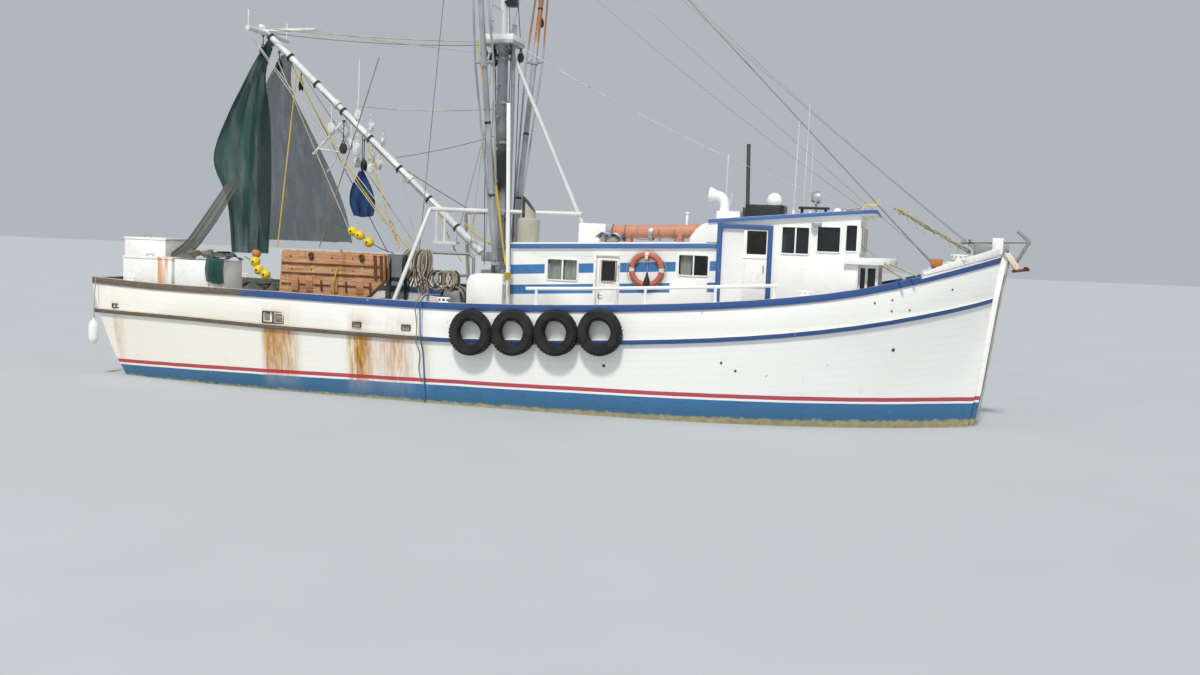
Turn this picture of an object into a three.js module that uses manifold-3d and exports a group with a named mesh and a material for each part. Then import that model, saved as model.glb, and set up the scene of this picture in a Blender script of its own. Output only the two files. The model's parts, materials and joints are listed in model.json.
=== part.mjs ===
// A wooden shrimp trawler about 20 m long: a round-bilged hull with a raised pilothouse, a low deckhouse,
// a mast with two outriggers and a net boom, and the winch and trawl gear of its working deck.
// Millimetres. +X is forward, +Y is port, +Z is up, and the origin is amidships on the waterline.

import * as THREE from "three";
import { mergeVertices } from "three/addons/utils/BufferGeometryUtils.js";
import Module from "manifold-3d";

const wasm = await Module();
wasm.setup();

// Driving dimensions
const GAP = 0.3; // between pieces that rest on each other
const PLANK = 90; // bulwark thickness
const CAP_HIGH = 140; // cap rail
const CAP_OVERHANG = 32;
const RUB_HIGH = 115; // rub rail along the deck edge
const RUB_OUT = 70;
const WATERWAY = 130; // flat strip of deck inside the bulwark
const DECK_CAMBER = 55;
const STEM_HALF = 75; // half the siding of the stem and keel
const STEM_HEAD = 3640;
const STATIONS = 26;

const HOUSE_HALF = 1800; // deckhouse and pilothouse, from the centreline to the outer face
const WALL = 60;
const HOUSE_AFT = -120;
const PILOT_AFT = 4330;
const PILOT_FRONT = 7170;
const LOW_ROOF_THICK = 95;
const PILOT_ROOF_THICK = 85;

const MAST_X = -1000;
const MAST_R = 135;
const MAST_TOP = 13500;
const BOOM_FOOT = [-1400, 0, 3120];
const BOOM_TIP = [-7360, 0, 8440];
const BOOM_R = 92;
const STEP_INSIDE = 65; // half the space between the plates that hold the boom's foot
const OUTRIGGER_FOOT = { x: -930, y: 520, z: 2950 };
const EAR_INSIDE = 75; // half the space between the two ears that hold an outrigger's pin
const OUTRIGGER_LEAN = 14; // degrees from upright
const OUTRIGGER_LONG = 10900;
const OUTRIGGER_R = 72;
// along each outrigger, where a spreader holds its two bracing rods apart
const COLLAR_AT = { starboard: 4480, port: 5030 };
const COLLAR_REACH = 210;

const SHAFT_Z = -1340;
const PROPELLER_X = -8420;
const PROPELLER_R = 500;
const PROPELLER_PITCH = 0.55; // radians between a blade and the disc it turns in
const RUDDER_X = -8930;

// Hull lines. Each row of a table is [x, value]; values between the rows follow a smooth curve.
const CAP_Z = [
  [-10500, 2140], [-8000, 2075], [-5000, 2055], [-1700, 2015], [250, 2055], [2200, 2140],
  [4500, 2300], [6100, 2480], [7200, 2670], [8550, 3025], [9200, 3225], [10000, 3480],
];
const DECK_Z = [
  [-10500, 1560], [-8000, 1545], [-5000, 1480], [-1500, 1445], [600, 1500], [2600, 1610],
  [4600, 1765], [6000, 1925], [7350, 2140], [8700, 2430], [9800, 2720], [10000, 2780],
];
const DECK_HALF = [
  [-10500, 2120], [-9500, 2330], [-8000, 2580], [-6000, 2760], [-4000, 2860], [0, 2900],
  [3000, 2830], [5500, 2510], [7200, 2060], [8200, 1610], [9000, 1090], [9550, 600], [9870, 75],
];
const WATER_RATIO = [
  [-10500, 0.84], [-8000, 0.9], [-4000, 0.93], [0, 0.94], [3000, 0.93], [5500, 0.88],
  [7200, 0.79], [8200, 0.7], [9000, 0.58], [9550, 0.42], [9870, 1],
];
const RABBET_Z = [
  [-10500, -180], [-9500, -330], [-8500, -640], [-7500, -900], [-5500, -1190], [-2500, -1370],
  [3000, -1430], [7000, -1430], [8200, -1380], [8900, -1250], [9400, -950],
];
// Profiles of the transom and the stem: [z, x]
const TRANSOM_X = [
  [-1600, -8600], [-700, -9080], [-300, -9380], [0, -9540], [400, -9790], [1600, -10230],
  [2350, -10400], [3000, -10520],
];
const STEM_X = [
  [-1600, 8450], [-1380, 8720], [-1100, 9020], [-700, 9270], [-300, 9420], [0, 9500], [710, 9620],
  [2650, 9840], [3700, 9990], [4200, 10050],
];
const HULL_ROWS = [0, 0.1, 0.22, 0.38, 0.56, 0.76, 1]; // shares of the depth from rabbet to waterline
const TOPSIDE_ROWS = [0.3, 0.65]; // shares of the height from waterline to rub rail

// Small helpers

// Smooth value from a table of [position, value] rows, flat beyond its ends.
function follow(table, at) {
  const last = table.length - 1;
  if (at <= table[0][0]) return table[0][1];
  if (at >= table[last][0]) return table[last][1];
  const i = table.findIndex((row) => row[0] > at) - 1;
  const [x0, y0] = table[i];
  const [x1, y1] = table[i + 1];
  const slope = (a, b) => (table[b][1] - table[a][1]) / (table[b][0] - table[a][0]);
  const here = slope(i, i + 1);
  const before = i > 0 ? slope(i - 1, i) : here;
  const after = i + 2 <= last ? slope(i + 1, i + 2) : here;
  const meet = (a, b) => (a * b <= 0 ? 0 : (2 * a * b) / (a + b));
  const m0 = meet(before, here);
  const m1 = meet(here, after);
  const w = x1 - x0;
  const t = (at - x0) / w;
  const t2 = t * t;
  const t3 = t2 * t;
  return (
    y0 * (2 * t3 - 3 * t2 + 1) + w * m0 * (t3 - 2 * t2 + t) + y1 * (3 * t2 - 2 * t3) + w * m1 * (t3 - t2)
  );
}

function mix(a, b, t) {
  return a + (b - a) * t;
}

// A closed solid from triangles, with its faces turned outwards.
function solid(points, triangles) {
  let six = 0;
  for (const [a, b, c] of triangles) {
    const [p, q, r] = [points[a], points[b], points[c]];
    six += p[0] * (q[1] * r[2] - q[2] * r[1]);
    six -= p[1] * (q[0] * r[2] - q[2] * r[0]);
    six += p[2] * (q[0] * r[1] - q[1] * r[0]);
  }
  const faces = six < 0 ? triangles.map(([a, b, c]) => [a, c, b]) : triangles;
  const geometry = new THREE.BufferGeometry();
  geometry.setAttribute("position", new THREE.Float32BufferAttribute(points.flat(), 3));
  geometry.setIndex(faces.flat());
  return geometry;
}

// A loft through rings of equal length. Point k of a ring pairs with point n-1-k to close each end,
// and the two halves of a ring are split into triangles as mirror images.
function loft(rings) {
  const n = rings[0].length;
  const points = rings.flat();
  const triangles = [];
  const quad = (a, b, c, d) => triangles.push([a, b, c], [a, c, d]);
  for (let r = 0; r + 1 < rings.length; r++) {
    for (let k = 0; k < n; k++) {
      const next = (k + 1) % n;
      const corners = [r * n + k, (r + 1) * n + k, (r + 1) * n + next, r * n + next];
      if (k >= n / 2) corners.push(corners.shift());
      quad(...corners);
    }
  }
  const end = (rings.length - 1) * n;
  for (let k = 0; k + 1 < n / 2; k++) {
    quad(k, k + 1, n - 2 - k, n - 1 - k);
    quad(end + k, end + n - 1 - k, end + n - 2 - k, end + k + 1);
  }
  return solid(points, triangles);
}

function box(x, y, z) {
  const geometry = new THREE.BoxGeometry(x[1] - x[0], y[1] - y[0], z[1] - z[0]);
  return geometry.translate((x[0] + x[1]) / 2, (y[0] + y[1]) / 2, (z[0] + z[1]) / 2);
}

// A prism: an outline in the XZ plane, carried from y[0] to y[1].
function sidePrism(outline, y) {
  const shape = new THREE.Shape(outline.map(([x, z]) => new THREE.Vector2(x, z)));
  const geometry = new THREE.ExtrudeGeometry(shape, { depth: y[1] - y[0], bevelEnabled: false });
  return geometry.rotateX(Math.PI / 2).translate(0, y[1], 0);
}

// A prism: an outline in the XY plane, carried from z[0] to z[1].
function planPrism(outline, z) {
  const shape = new THREE.Shape(outline.map(([x, y]) => new THREE.Vector2(x, y)));
  const geometry = new THREE.ExtrudeGeometry(shape, { depth: z[1] - z[0], bevelEnabled: false });
  return geometry.translate(0, 0, z[0]);
}

// A round bar between two points, tapering if a second radius is given.
function bar(from, to, r, sides = 12, r2 = r) {
  const a = new THREE.Vector3(...from);
  const b = new THREE.Vector3(...to);
  const way = b.clone().sub(a);
  const geometry = new THREE.CylinderGeometry(r2, r, way.length(), sides);
  const turn = new THREE.Quaternion().setFromUnitVectors(new THREE.Vector3(0, 1, 0), way.normalize());
  const middle = a.add(b).multiplyScalar(0.5);
  return geometry.applyQuaternion(turn).translate(middle.x, middle.y, middle.z);
}

// A ring turned about the Z axis from a closed profile of [radius, height] points.
function turned(profile, sides) {
  const points = profile.map(([r, z]) => new THREE.Vector2(r, z));
  return new THREE.LatheGeometry(points, sides).rotateX(Math.PI / 2);
}

function toManifold(geometry) {
  const plain = geometry.clone();
  plain.deleteAttribute("normal");
  plain.deleteAttribute("uv");
  const merged = mergeVertices(plain, 1e-3);
  const mesh = new wasm.Mesh({
    numProp: 3,
    vertProperties: new Float32Array(merged.attributes.position.array),
    triVerts: new Uint32Array(merged.index.array),
  });
  return new wasm.Manifold(mesh);
}

function fromManifold(body) {
  const mesh = body.getMesh();
  const geometry = new THREE.BufferGeometry();
  geometry.setAttribute("position", new THREE.BufferAttribute(new Float32Array(mesh.vertProperties), 3));
  geometry.setIndex(new THREE.BufferAttribute(new Uint32Array(mesh.triVerts), 1));
  return geometry;
}

function join(...geometries) {
  return fromManifold(geometries.map(toManifold).reduce((a, b) => a.add(b)));
}

function cut(geometry, ...tools) {
  return fromManifold(tools.map(toManifold).reduce((a, b) => a.subtract(b), toManifold(geometry)));
}

function mirrored(geometry) {
  const other = geometry.clone();
  const at = other.attributes.position;
  for (let i = 0; i < at.count; i++) at.setY(i, -at.getY(i));
  const plain = other.index ? other : mergeVertices(other);
  const index = Array.from(plain.index.array);
  for (let i = 0; i < index.length; i += 3) [index[i + 1], index[i + 2]] = [index[i + 2], index[i + 1]];
  plain.setIndex(index);
  return plain;
}

// Hull surface

function capZ(x) {
  return follow(CAP_Z, x);
}

function deckZ(x) {
  return follow(DECK_Z, x);
}

// X of a point a share u of the way from transom to stem at height z.
function alongX(u, z) {
  return mix(follow(TRANSOM_X, z), follow(STEM_X, z), u);
}

// Half-breadth at x and z: s is the share of depth below the waterline, t the share of height to the deck.
function sectionHalf(x, z) {
  const half = Math.max(follow(DECK_HALF, x), STEM_HALF);
  const water = Math.max(half * follow(WATER_RATIO, x), STEM_HALF);
  const deck = deckZ(x);
  if (z >= 0) {
    const t = z / deck;
    const flare = x > 5500 ? mix(0.9, 1.5, Math.min((x - 5500) / 3000, 1)) : 0.9;
    if (t <= 1) return mix(water, half, t ** flare);
    const outward = x > 5500 ? Math.min((x - 5500) / 3500, 1) * 0.1 : 0;
    return half + (z - deck) * (0.03 + outward) * Math.min(1, Math.max(0, (9870 - x) / 500));
  }
  const s = Math.min(z / follow(RABBET_Z, x), 1);
  const full = Math.max(0, 1 - Math.abs(x + 500) / 9500);
  const power = 1.25 + 1.1 * full;
  const root = 1 / (1.15 + 0.75 * full);
  return Math.max(STEM_HALF, water * (1 - s ** power) ** root);
}

function stationShares() {
  const shares = [];
  for (let i = 0; i <= STATIONS; i++) {
    const even = i / STATIONS;
    shares.push(1 - (1 - even) ** 1.25);
  }
  return shares;
}

// One side's points from the rabbet up to the deck edge, then along the deck to the centreline.
function hullSide(u, side) {
  const points = [];
  const put = (z, y) => points.push([alongX(u, z), side * y, z]);
  const at = (z) => sectionHalf(alongX(u, z), z);
  const low = follow(RABBET_Z, alongX(u, -1000));
  for (const row of HULL_ROWS) {
    const z = low * (1 - row);
    put(z, at(z));
  }
  const deck = deckZ(alongX(u, 2000));
  const rub = deck - RUB_HIGH;
  for (const row of TOPSIDE_ROWS) put(rub * row, at(rub * row));
  put(rub, at(rub));
  put(deck, at(deck));
  const half = at(deck);
  const inner = Math.max(half - WATERWAY, 0.6 * half);
  put(deck, inner);
  const camber = Math.min(DECK_CAMBER, inner * 0.03);
  put(deck + camber * 0.6, inner * 0.62);
  put(deck + camber * 0.95, inner * 0.22);
  return points;
}

function hull() {
  const rings = stationShares().map((u) => [...hullSide(u, -1), ...hullSide(u, 1).reverse()]);
  return loft(rings);
}

const HULL = hull();
const HULL_BODY = toManifold(HULL);

// Trims a piece to the hull's own surface. Each way in the list moves the hull by one gap before the cut.
function offHull(geometry, ways) {
  const hulls = ways.map((way) => HULL_BODY.translate(way.map((step) => step * GAP)));
  return fromManifold(hulls.reduce((rest, shape) => rest.subtract(shape), toManifold(geometry)));
}

function onDeck(geometry) {
  return offHull(geometry, [[0, 0, 1]]);
}

// A strip that runs the length of one side: each section gives four corners as [y, z] pairs.
function sideStrip(side, section, from = 0, to = 1) {
  const shares = stationShares().filter((u) => u >= from && u <= to);
  return loft(
    shares.map((u) => {
      return section(u).map(([y, z, x]) => [x ?? alongX(u, z), side * y, z]);
    }),
  );
}

function bulwark(side) {
  return sideStrip(side, (u) => {
    const deck = deckZ(alongX(u, 2000));
    const low = deck + GAP;
    const high = capZ(alongX(u, 2400));
    const out = (z) => sectionHalf(alongX(u, z), z);
    const inside = (z) => Math.max(out(z) - PLANK, 0.2);
    return [[out(low), low], [out(high), high], [inside(high), high], [inside(low), low]];
  });
}

// Freeing ports and scuppers in each bulwark: [x, height of middle, long, high]
const PORTS = [
  [-5330, 1640, 210, 190],
  [-5080, 1620, 210, 190],
  [-3150, 1590, 150, 70],
  [-2010, 1590, 160, 70],
];

function bulwarkWithPorts(side) {
  const tools = PORTS.map(([x, z, long, high]) => {
    const y = side < 0 ? [-3400, -2000] : [2000, 3400];
    return box([x - long / 2, x + long / 2], y, [z - high / 2, z + high / 2]);
  });
  return offHull(cut(bulwark(side), ...tools), [[0, 0, 1], [1, 0, 1]]);
}

function sternWall() {
  const outer = (z) => follow(TRANSOM_X, z);
  const deck = deckZ(alongX(0, 2000));
  const high = capZ(outer(2350)) - 3;
  const half = (z) => sectionHalf(outer(z), z) - PLANK - 1;
  const rings = [];
  for (const side of [-1, 1]) {
    const low = deck + 2 * GAP;
    rings.push([
      [outer(low), side * half(low), low],
      [outer(high), side * half(high), high],
      [outer(high) + PLANK, side * half(high), high],
      [outer(low) + PLANK, side * half(low), low],
    ]);
  }
  return offHull(loft(rings), [[0, 0, 1], [-1, 0, 1]]);
}

function capRail(side) {
  return sideStrip(side, (u) => {
    const low = capZ(alongX(u, 2400)) + GAP;
    const high = low + CAP_HIGH;
    const x = alongX(u, low);
    const out = sectionHalf(x, low) + CAP_OVERHANG;
    const inside = Math.max(out - PLANK - 2 * CAP_OVERHANG, 0.2);
    return [[out, low, x], [out, high, x], [inside, high, x], [inside, low, x]];
  });
}

function sternCap() {
  const z = capZ(follow(TRANSOM_X, 2350)) + GAP;
  const x = follow(TRANSOM_X, z);
  const half = sectionHalf(x, z) - 40;
  return box([x - CAP_OVERHANG, x + PLANK + CAP_OVERHANG], [-half, half], [z, z + CAP_HIGH]);
}

function rubRail(side) {
  return sideStrip(side, (u) => {
    const deck = deckZ(alongX(u, 2000));
    const low = deck - RUB_HIGH;
    const at = (z) => sectionHalf(alongX(u, z), z) + 2 * GAP;
    return [
      [at(low), low],
      [at(deck), deck],
      [at(deck) + RUB_OUT, deck - 18, alongX(u, deck)],
      [at(low) + RUB_OUT, low + 18, alongX(u, low)],
    ];
  });
}

// The rub rail's length across the transom.
function sternRub() {
  const deck = deckZ(alongX(0, 2000));
  const low = deck - RUB_HIGH;
  const at = (z) => follow(TRANSOM_X, z) - 2 * GAP;
  const half = sectionHalf(at(deck), deck) + RUB_OUT - 2;
  const outline = [
    [at(low), low], [at(deck), deck], [at(deck) - RUB_OUT, deck - 18], [at(low) - RUB_OUT, low + 18],
  ];
  return sidePrism(outline, [-half, half]);
}

function rubRails() {
  const side = rubRail(-1);
  return join(side, mirrored(side), sternRub());
}

function capRails() {
  const side = capRail(-1);
  return join(side, mirrored(side), sternCap());
}

// A pipe rail along the cap rail: [x, z] of its bends, and the x of each stanchion
const SIDE_RAIL = [[620, 2535], [1860, 2590], [3100, 2660], [4480, 2742], [5650, 2815]];
const STANCHIONS = [840, 3100, 4480, 5610];
const RAIL_R = 36;

function sideRail() {
  const out = (x) => -(sectionHalf(x, 2250) - PLANK / 2);
  const spots = SIDE_RAIL.map(([x, z]) => [x, out(x), z]);
  const spans = spots.slice(1).map((spot, i) => bar(spots[i], spot, RAIL_R, 10));
  const foot = (x) => bar([x, out(x), capZ(x) + 60], [x, out(x), capZ(x) + CAP_HIGH + 14], 55, 10);
  const post = (x) => bar([x, out(x), capZ(x) + 70], [x, out(x), follow(SIDE_RAIL, x)], RAIL_R - 6, 8);
  const body = join(...spans, ...STANCHIONS.map(foot), ...STANCHIONS.map(post));
  return cut(body, capRail(-1).translate(0, 0, GAP));
}

function keel() {
  const top = [];
  for (let i = 0; i <= 12; i++) {
    const u = mix(0.03, 1, i / 12);
    const z = follow(RABBET_Z, alongX(u, -1000));
    top.push([alongX(u, z), z + 60]);
  }
  const heel = top[0][0];
  const outline = [
    ...top,
    [follow(STEM_X, -1000) + 120, -1000],
    [8930, -1480],
    [8600, -1760],
    [7800, -1880],
    [-9250, -2060],
    [-9250, -1960],
    [-8250, -1940],
    [-8250, SHAFT_Z - 160],
    [-8330, SHAFT_Z - 90],
    [-8330, SHAFT_Z + 90],
    [-8250, SHAFT_Z + 160],
    [-8250, -790],
    [heel, -620],
  ];
  return sidePrism(outline, [-STEM_HALF, STEM_HALF]);
}

function stemPost() {
  const inner = [];
  const outer = [];
  for (const z of [-1300, -1000, -700, -300, 0, 710, 1600, 2650, STEM_HEAD]) {
    inner.push([follow(STEM_X, z) + 2 * GAP, z]);
    outer.unshift([follow(STEM_X, z) + 120, z]);
  }
  return sidePrism([...inner, ...outer], [-STEM_HALF, STEM_HALF]);
}

// The backbone: keel, skeg and heel shoe, and the stem post that rises from the keel's fore end.
function backbone() {
  return offHull(join(keel(), stemPost()), [[0, 0, -1], [1, 0, 0]]);
}

const RUDDER_SWING = 35; // degrees each way

// The rudder is trimmed to clear the hull's underside at every angle of its swing.
function rudder() {
  const blade = sidePrism(
    [[RUDDER_X - 640, -1850], [RUDDER_X + 90, -1850], [RUDDER_X + 90, -720], [RUDDER_X - 520, -620]],
    [-32, 32],
  );
  const stock = bar([RUDDER_X, 0, -1900], [RUDDER_X, 0, -560], 62, 16);
  const shoeTop = mix(-1940, -1960, (-8250 - RUDDER_X) / 1000);
  const pintle = bar([RUDDER_X, 0, shoeTop + 1 + GAP], [RUDDER_X, 0, -1840], 40, 16);
  const hulls = [-1, -0.75, -0.5, -0.25, 0, 0.25, 0.5, 0.75, 1].map((share) => {
    const turn = (share * RUDDER_SWING * Math.PI) / 180;
    return HULL.clone().translate(-RUDDER_X, 0, -6).rotateZ(turn).translate(RUDDER_X, 0, 0);
  });
  return cut(join(blade, stock, pintle), ...hulls);
}

function propeller() {
  const hub = bar([PROPELLER_X - 110, 0, SHAFT_Z], [-8330 - 2 * GAP, 0, SHAFT_Z], 85, 20);
  const nose = bar([PROPELLER_X - 210, 0, SHAFT_Z], [PROPELLER_X - 110, 0, SHAFT_Z], 30, 20, 85);
  const blades = [0, 1, 2, 3].map((i) => {
    const tip = PROPELLER_R - 20;
    const shape = [[-40, 60], [-130, 240], [-120, 420], [-40, tip], [60, tip], [130, 280], [50, 60]];
    const blade = new THREE.ExtrudeGeometry(
      new THREE.Shape(shape.map(([x, y]) => new THREE.Vector2(x, y))),
      { depth: 26, bevelEnabled: false },
    );
    blade.translate(0, 0, -13).rotateY(Math.PI / 2 - PROPELLER_PITCH);
    blade.rotateX(Math.PI / 2 + (i * Math.PI) / 2);
    return blade.translate(PROPELLER_X - 30, 0, SHAFT_Z);
  });
  return join(hub, nose, ...blades);
}

// Deckhouse and pilothouse

function lowRoofZ(x) {
  return mix(3330, 3500, (x - HOUSE_AFT) / (PILOT_AFT - HOUSE_AFT));
}

function pilotRoofZ(x) {
  return mix(4005, 4300, (x - 4140) / (7410 - 4140));
}

// Openings in the house sides: [name, x from, x to, z from, z to]
const HOUSE_OPENINGS = {
  aftWindow: [720, 1380, 2705, 3150],
  door: [1800, 2290, 1720, 3215],
  foreWindow: [3550, 4170, 2920, 3350],
};
const PILOT_OPENINGS = {
  door: [4520, 5370, 2170, 3915],
  window: [5640, 6180, 3455, 3990],
  foreWindow: [6340, 6790, 3515, 4015],
  sideLight: [6900, 7115, 3545, 4065],
};

function roundedHole([x0, x1, z0, z1], y, r) {
  const shape = new THREE.Shape();
  shape.moveTo(x0 + r, z0);
  shape.lineTo(x1 - r, z0);
  shape.quadraticCurveTo(x1, z0, x1, z0 + r);
  shape.lineTo(x1, z1 - r);
  shape.quadraticCurveTo(x1, z1, x1 - r, z1);
  shape.lineTo(x0 + r, z1);
  shape.quadraticCurveTo(x0, z1, x0, z1 - r);
  shape.lineTo(x0, z0 + r);
  shape.quadraticCurveTo(x0, z0, x0 + r, z0);
  const depth = y[1] - y[0];
  const geometry = new THREE.ExtrudeGeometry(shape, { depth, bevelEnabled: false, curveSegments: 2 });
  return geometry.rotateX(Math.PI / 2).translate(0, y[1], 0);
}

function houseSide() {
  const x0 = HOUSE_AFT;
  const x1 = PILOT_AFT - GAP;
  const wall = sidePrism(
    [[x0, 1200], [x1, 1200], [x1, lowRoofZ(x1) - GAP], [x0, lowRoofZ(x0) - GAP]],
    [-HOUSE_HALF, -HOUSE_HALF + WALL],
  );
  const y = [-HOUSE_HALF - 30, -HOUSE_HALF + WALL + 50];
  const door = HOUSE_OPENINGS.door;
  return onDeck(
    cut(
      wall,
      roundedHole(HOUSE_OPENINGS.aftWindow, y, 45),
      roundedHole(HOUSE_OPENINGS.foreWindow, y, 60),
      box([door[0], door[1]], y, [door[2], door[3]]),
    ),
  );
}

function houseAftWall() {
  const half = HOUSE_HALF - WALL - GAP;
  const wall = box([HOUSE_AFT, HOUSE_AFT + WALL], [-half, half], [1200, lowRoofZ(HOUSE_AFT) - GAP]);
  const door = box([HOUSE_AFT - 50, HOUSE_AFT + WALL + 50], [500, 1200], [1680, 3150]);
  return onDeck(cut(wall, door));
}

function houseRoof() {
  const x0 = HOUSE_AFT - 60;
  const x1 = PILOT_AFT - GAP;
  return sidePrism(
    [
      [x0, lowRoofZ(x0)],
      [x1, lowRoofZ(x1)],
      [x1, lowRoofZ(x1) + LOW_ROOF_THICK],
      [x0, lowRoofZ(x0) + LOW_ROOF_THICK],
    ],
    [-HOUSE_HALF - 55, HOUSE_HALF + 55],
  );
}

function pilotSide() {
  const x0 = PILOT_AFT;
  const x1 = PILOT_FRONT;
  const wall = sidePrism(
    [[x0, 1200], [x1, 1200], [x1, pilotRoofZ(x1) - GAP], [x0, pilotRoofZ(x0) - GAP]],
    [-HOUSE_HALF, -HOUSE_HALF + WALL],
  );
  const y = [-HOUSE_HALF - 80, -HOUSE_HALF + WALL + 50];
  const door = PILOT_OPENINGS.door;
  return onDeck(
    cut(
      join(wall, roofWing(), doorTrack()),
      roundedHole(PILOT_OPENINGS.window, y, 30),
      roundedHole(PILOT_OPENINGS.foreWindow, y, 30),
      roundedHole(PILOT_OPENINGS.sideLight, y, 20),
      box([4900, door[1]], [-HOUSE_HALF - 0.1, y[1]], [door[2], door[3]]),
    ),
  );
}

function pilotFront() {
  const half = HOUSE_HALF - WALL - GAP;
  const wall = box(
    [PILOT_FRONT - WALL, PILOT_FRONT],
    [-half, half],
    [1200, pilotRoofZ(PILOT_FRONT - WALL) - GAP],
  );
  const windows = [[-1620, -640], [-490, 490], [640, 1620]].map((y) =>
    box([PILOT_FRONT - WALL - 50, PILOT_FRONT + 50], y, [3545, 4065]),
  );
  const passage = box([PILOT_FRONT - WALL - 50, PILOT_FRONT + 50], [-380, 380], [2330, 3300]);
  return onDeck(cut(wall, ...windows, passage));
}

function pilotAftWall() {
  const half = HOUSE_HALF - WALL - GAP;
  const x0 = PILOT_AFT;
  const low = lowRoofZ(x0) - 60;
  const wall = box([x0, x0 + WALL], [-half, half], [low, pilotRoofZ(x0) - GAP]);
  const window = box([x0 - 50, x0 + WALL + 50], [-300, 300], [3680, 3920]);
  return cut(wall, window);
}

function pilotRoof() {
  const x0 = 4140;
  const x1 = 7470;
  const half = HOUSE_HALF + 95;
  const nose = [
    [x0, -half], [x1 - 240, -half], [x1 - 60, -half + 130], [x1, -half + 420],
    [x1, half - 420], [x1 - 60, half - 130], [x1 - 240, half], [x0, half],
  ];
  const plan = planPrism(nose, [3800, 4700]);
  const slab = sidePrism(
    [
      [x0 - 10, pilotRoofZ(x0 - 10)],
      [x1 + 10, pilotRoofZ(x1 + 10)],
      [x1 + 10, pilotRoofZ(x1 + 10) + PILOT_ROOF_THICK],
      [x0 - 10, pilotRoofZ(x0 - 10) + PILOT_ROOF_THICK],
    ],
    [-half - 10, half + 10],
  );
  return fromManifold(toManifold(plan).intersect(toManifold(slab)));
}

// The curved wing that carries the pilothouse roof's aft edge down to the deckhouse roof.
function roofWing() {
  const low = (x) => lowRoofZ(x) + LOW_ROOF_THICK + GAP;
  const x1 = PILOT_AFT + 20;
  const outline = [
    [3720, low(3720)],
    [x1, low(x1)],
    [x1, pilotRoofZ(x1) - GAP],
    [4180, pilotRoofZ(4180) - GAP],
    [4060, pilotRoofZ(4060) - 110],
    [3920, 3740],
    [3800, 3640],
  ];
  return sidePrism(outline, [-HOUSE_HALF, -HOUSE_HALF + WALL]);
}

const CUDDY_FRONT = 7560;
const CUDDY_HALF = 1560;

function cuddy() {
  const x0 = PILOT_FRONT + GAP;
  const x1 = CUDDY_FRONT;
  const high = 3300;
  const outer = box([x0, x1], [-CUDDY_HALF, CUDDY_HALF], [1500, high]);
  const inner = box([x0 - 10, x1 - WALL], [-CUDDY_HALF + WALL, CUDDY_HALF - WALL], [1400, high + 10]);
  const side = box([7205, 7300], [-2000, 2000], [2780, 3220]);
  const fore = box([7350, 7500], [-2000, 2000], [2780, 3220]);
  const front = [[-1400, -520], [-440, 440], [520, 1400]].map((y) => {
    return box([x1 - 200, x1 + 50], y, [2790, 3210]);
  });
  return onDeck(cut(outer, inner, side, fore, ...front));
}

function visor() {
  const x0 = 6900;
  const x1 = 7890;
  const half = 1900;
  const plan = [
    [x0, -half], [x1 - 560, -half], [x1 - 260, -half + 120], [x1 - 80, -half + 380], [x1, -half + 800],
    [x1, half - 800], [x1 - 80, half - 380], [x1 - 260, half - 120], [x1 - 560, half], [x0, half],
  ];
  const slab = planPrism(plan, [3290, 3425]);
  const room = box([x0 - 10, PILOT_FRONT + GAP], [-HOUSE_HALF - GAP, HOUSE_HALF + GAP], [3200, 3500]);
  return cut(slab, room);
}

// Doors
const KNUCKLE = 15.2; // from a wall's face out to the pin of a door hinge

function pilotDoor() {
  const [, x1, z0, z1] = PILOT_OPENINGS.door;
  const y0 = -HOUSE_HALF - 42;
  const leaf = box([4880, x1 - 8], [y0, -HOUSE_HALF - 2 * GAP], [z0 - 10, z1 - 8]);
  return cut(leaf, roundedHole([4945, 5340, 3410, 3880], [y0 - 20, -HOUSE_HALF + 20], 15));
}

function doorTrack() {
  const y = [-HOUSE_HALF - 66, -HOUSE_HALF + 10];
  const bars = [
    box([4335, 5460], y, [3917, 4000]),
    box([4335, 4435], y, [2060, 3917]),
    box([5375, 5460], y, [2060, 3917]),
    box([4335, 5460], y, [2060, 2154]),
  ];
  return join(...bars);
}

function houseDoor() {
  const [x0, x1, z0, z1] = HOUSE_OPENINGS.door;
  const y = [-HOUSE_HALF, -HOUSE_HALF + 40];
  const leaf = box([x0 + 8, x1 - 8], y, [z0 + 8, z1 - 8]);
  const window = roundedHole([1930, 2230, 2745, 3150], [y[0] - 20, y[1] + 20], 15);
  const hinge = [1900, 2600, 3050].map((z) =>
    bar([x1 - 2, -HOUSE_HALF - KNUCKLE, z], [x1 - 2, -HOUSE_HALF - KNUCKLE, z + 110], 15, 10),
  );
  const strap = [1900, 2600, 3050].map((z) => {
    return box([x1 - 60, x1 - 2], [-HOUSE_HALF - 22, -HOUSE_HALF + 5], [z, z + 110]);
  });
  return join(cut(leaf, window), ...hinge, ...strap);
}

function houseAftDoor() {
  const x = [HOUSE_AFT, HOUSE_AFT + 40];
  const leaf = box(x, [508, 1192], [1690, 3142]);
  const window = box([x[0] - 20, x[1] + 20], [680, 1020], [2650, 3000]);
  const hinge = [1850, 2400, 2950].map((z) =>
    bar([HOUSE_AFT - KNUCKLE, 1198, z], [HOUSE_AFT - KNUCKLE, 1198, z + 110], 15, 10),
  );
  const strap = [1850, 2400, 2950].map((z) => {
    return box([HOUSE_AFT - 22, HOUSE_AFT + 5], [1140, 1198], [z, z + 110]);
  });
  return join(cut(leaf, window), ...hinge, ...strap);
}

// Roof gear

// Trims a piece that stands on a sloping roof to the roof's top.
function trimBelow(geometry, height) {
  const ends = [-3000, 9000];
  const below = [...ends.map((x) => [x, height(x)]), ...ends.reverse().map((x) => [x, -3000])];
  return cut(geometry, sidePrism(below, [-4000, 4000]));
}

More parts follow.
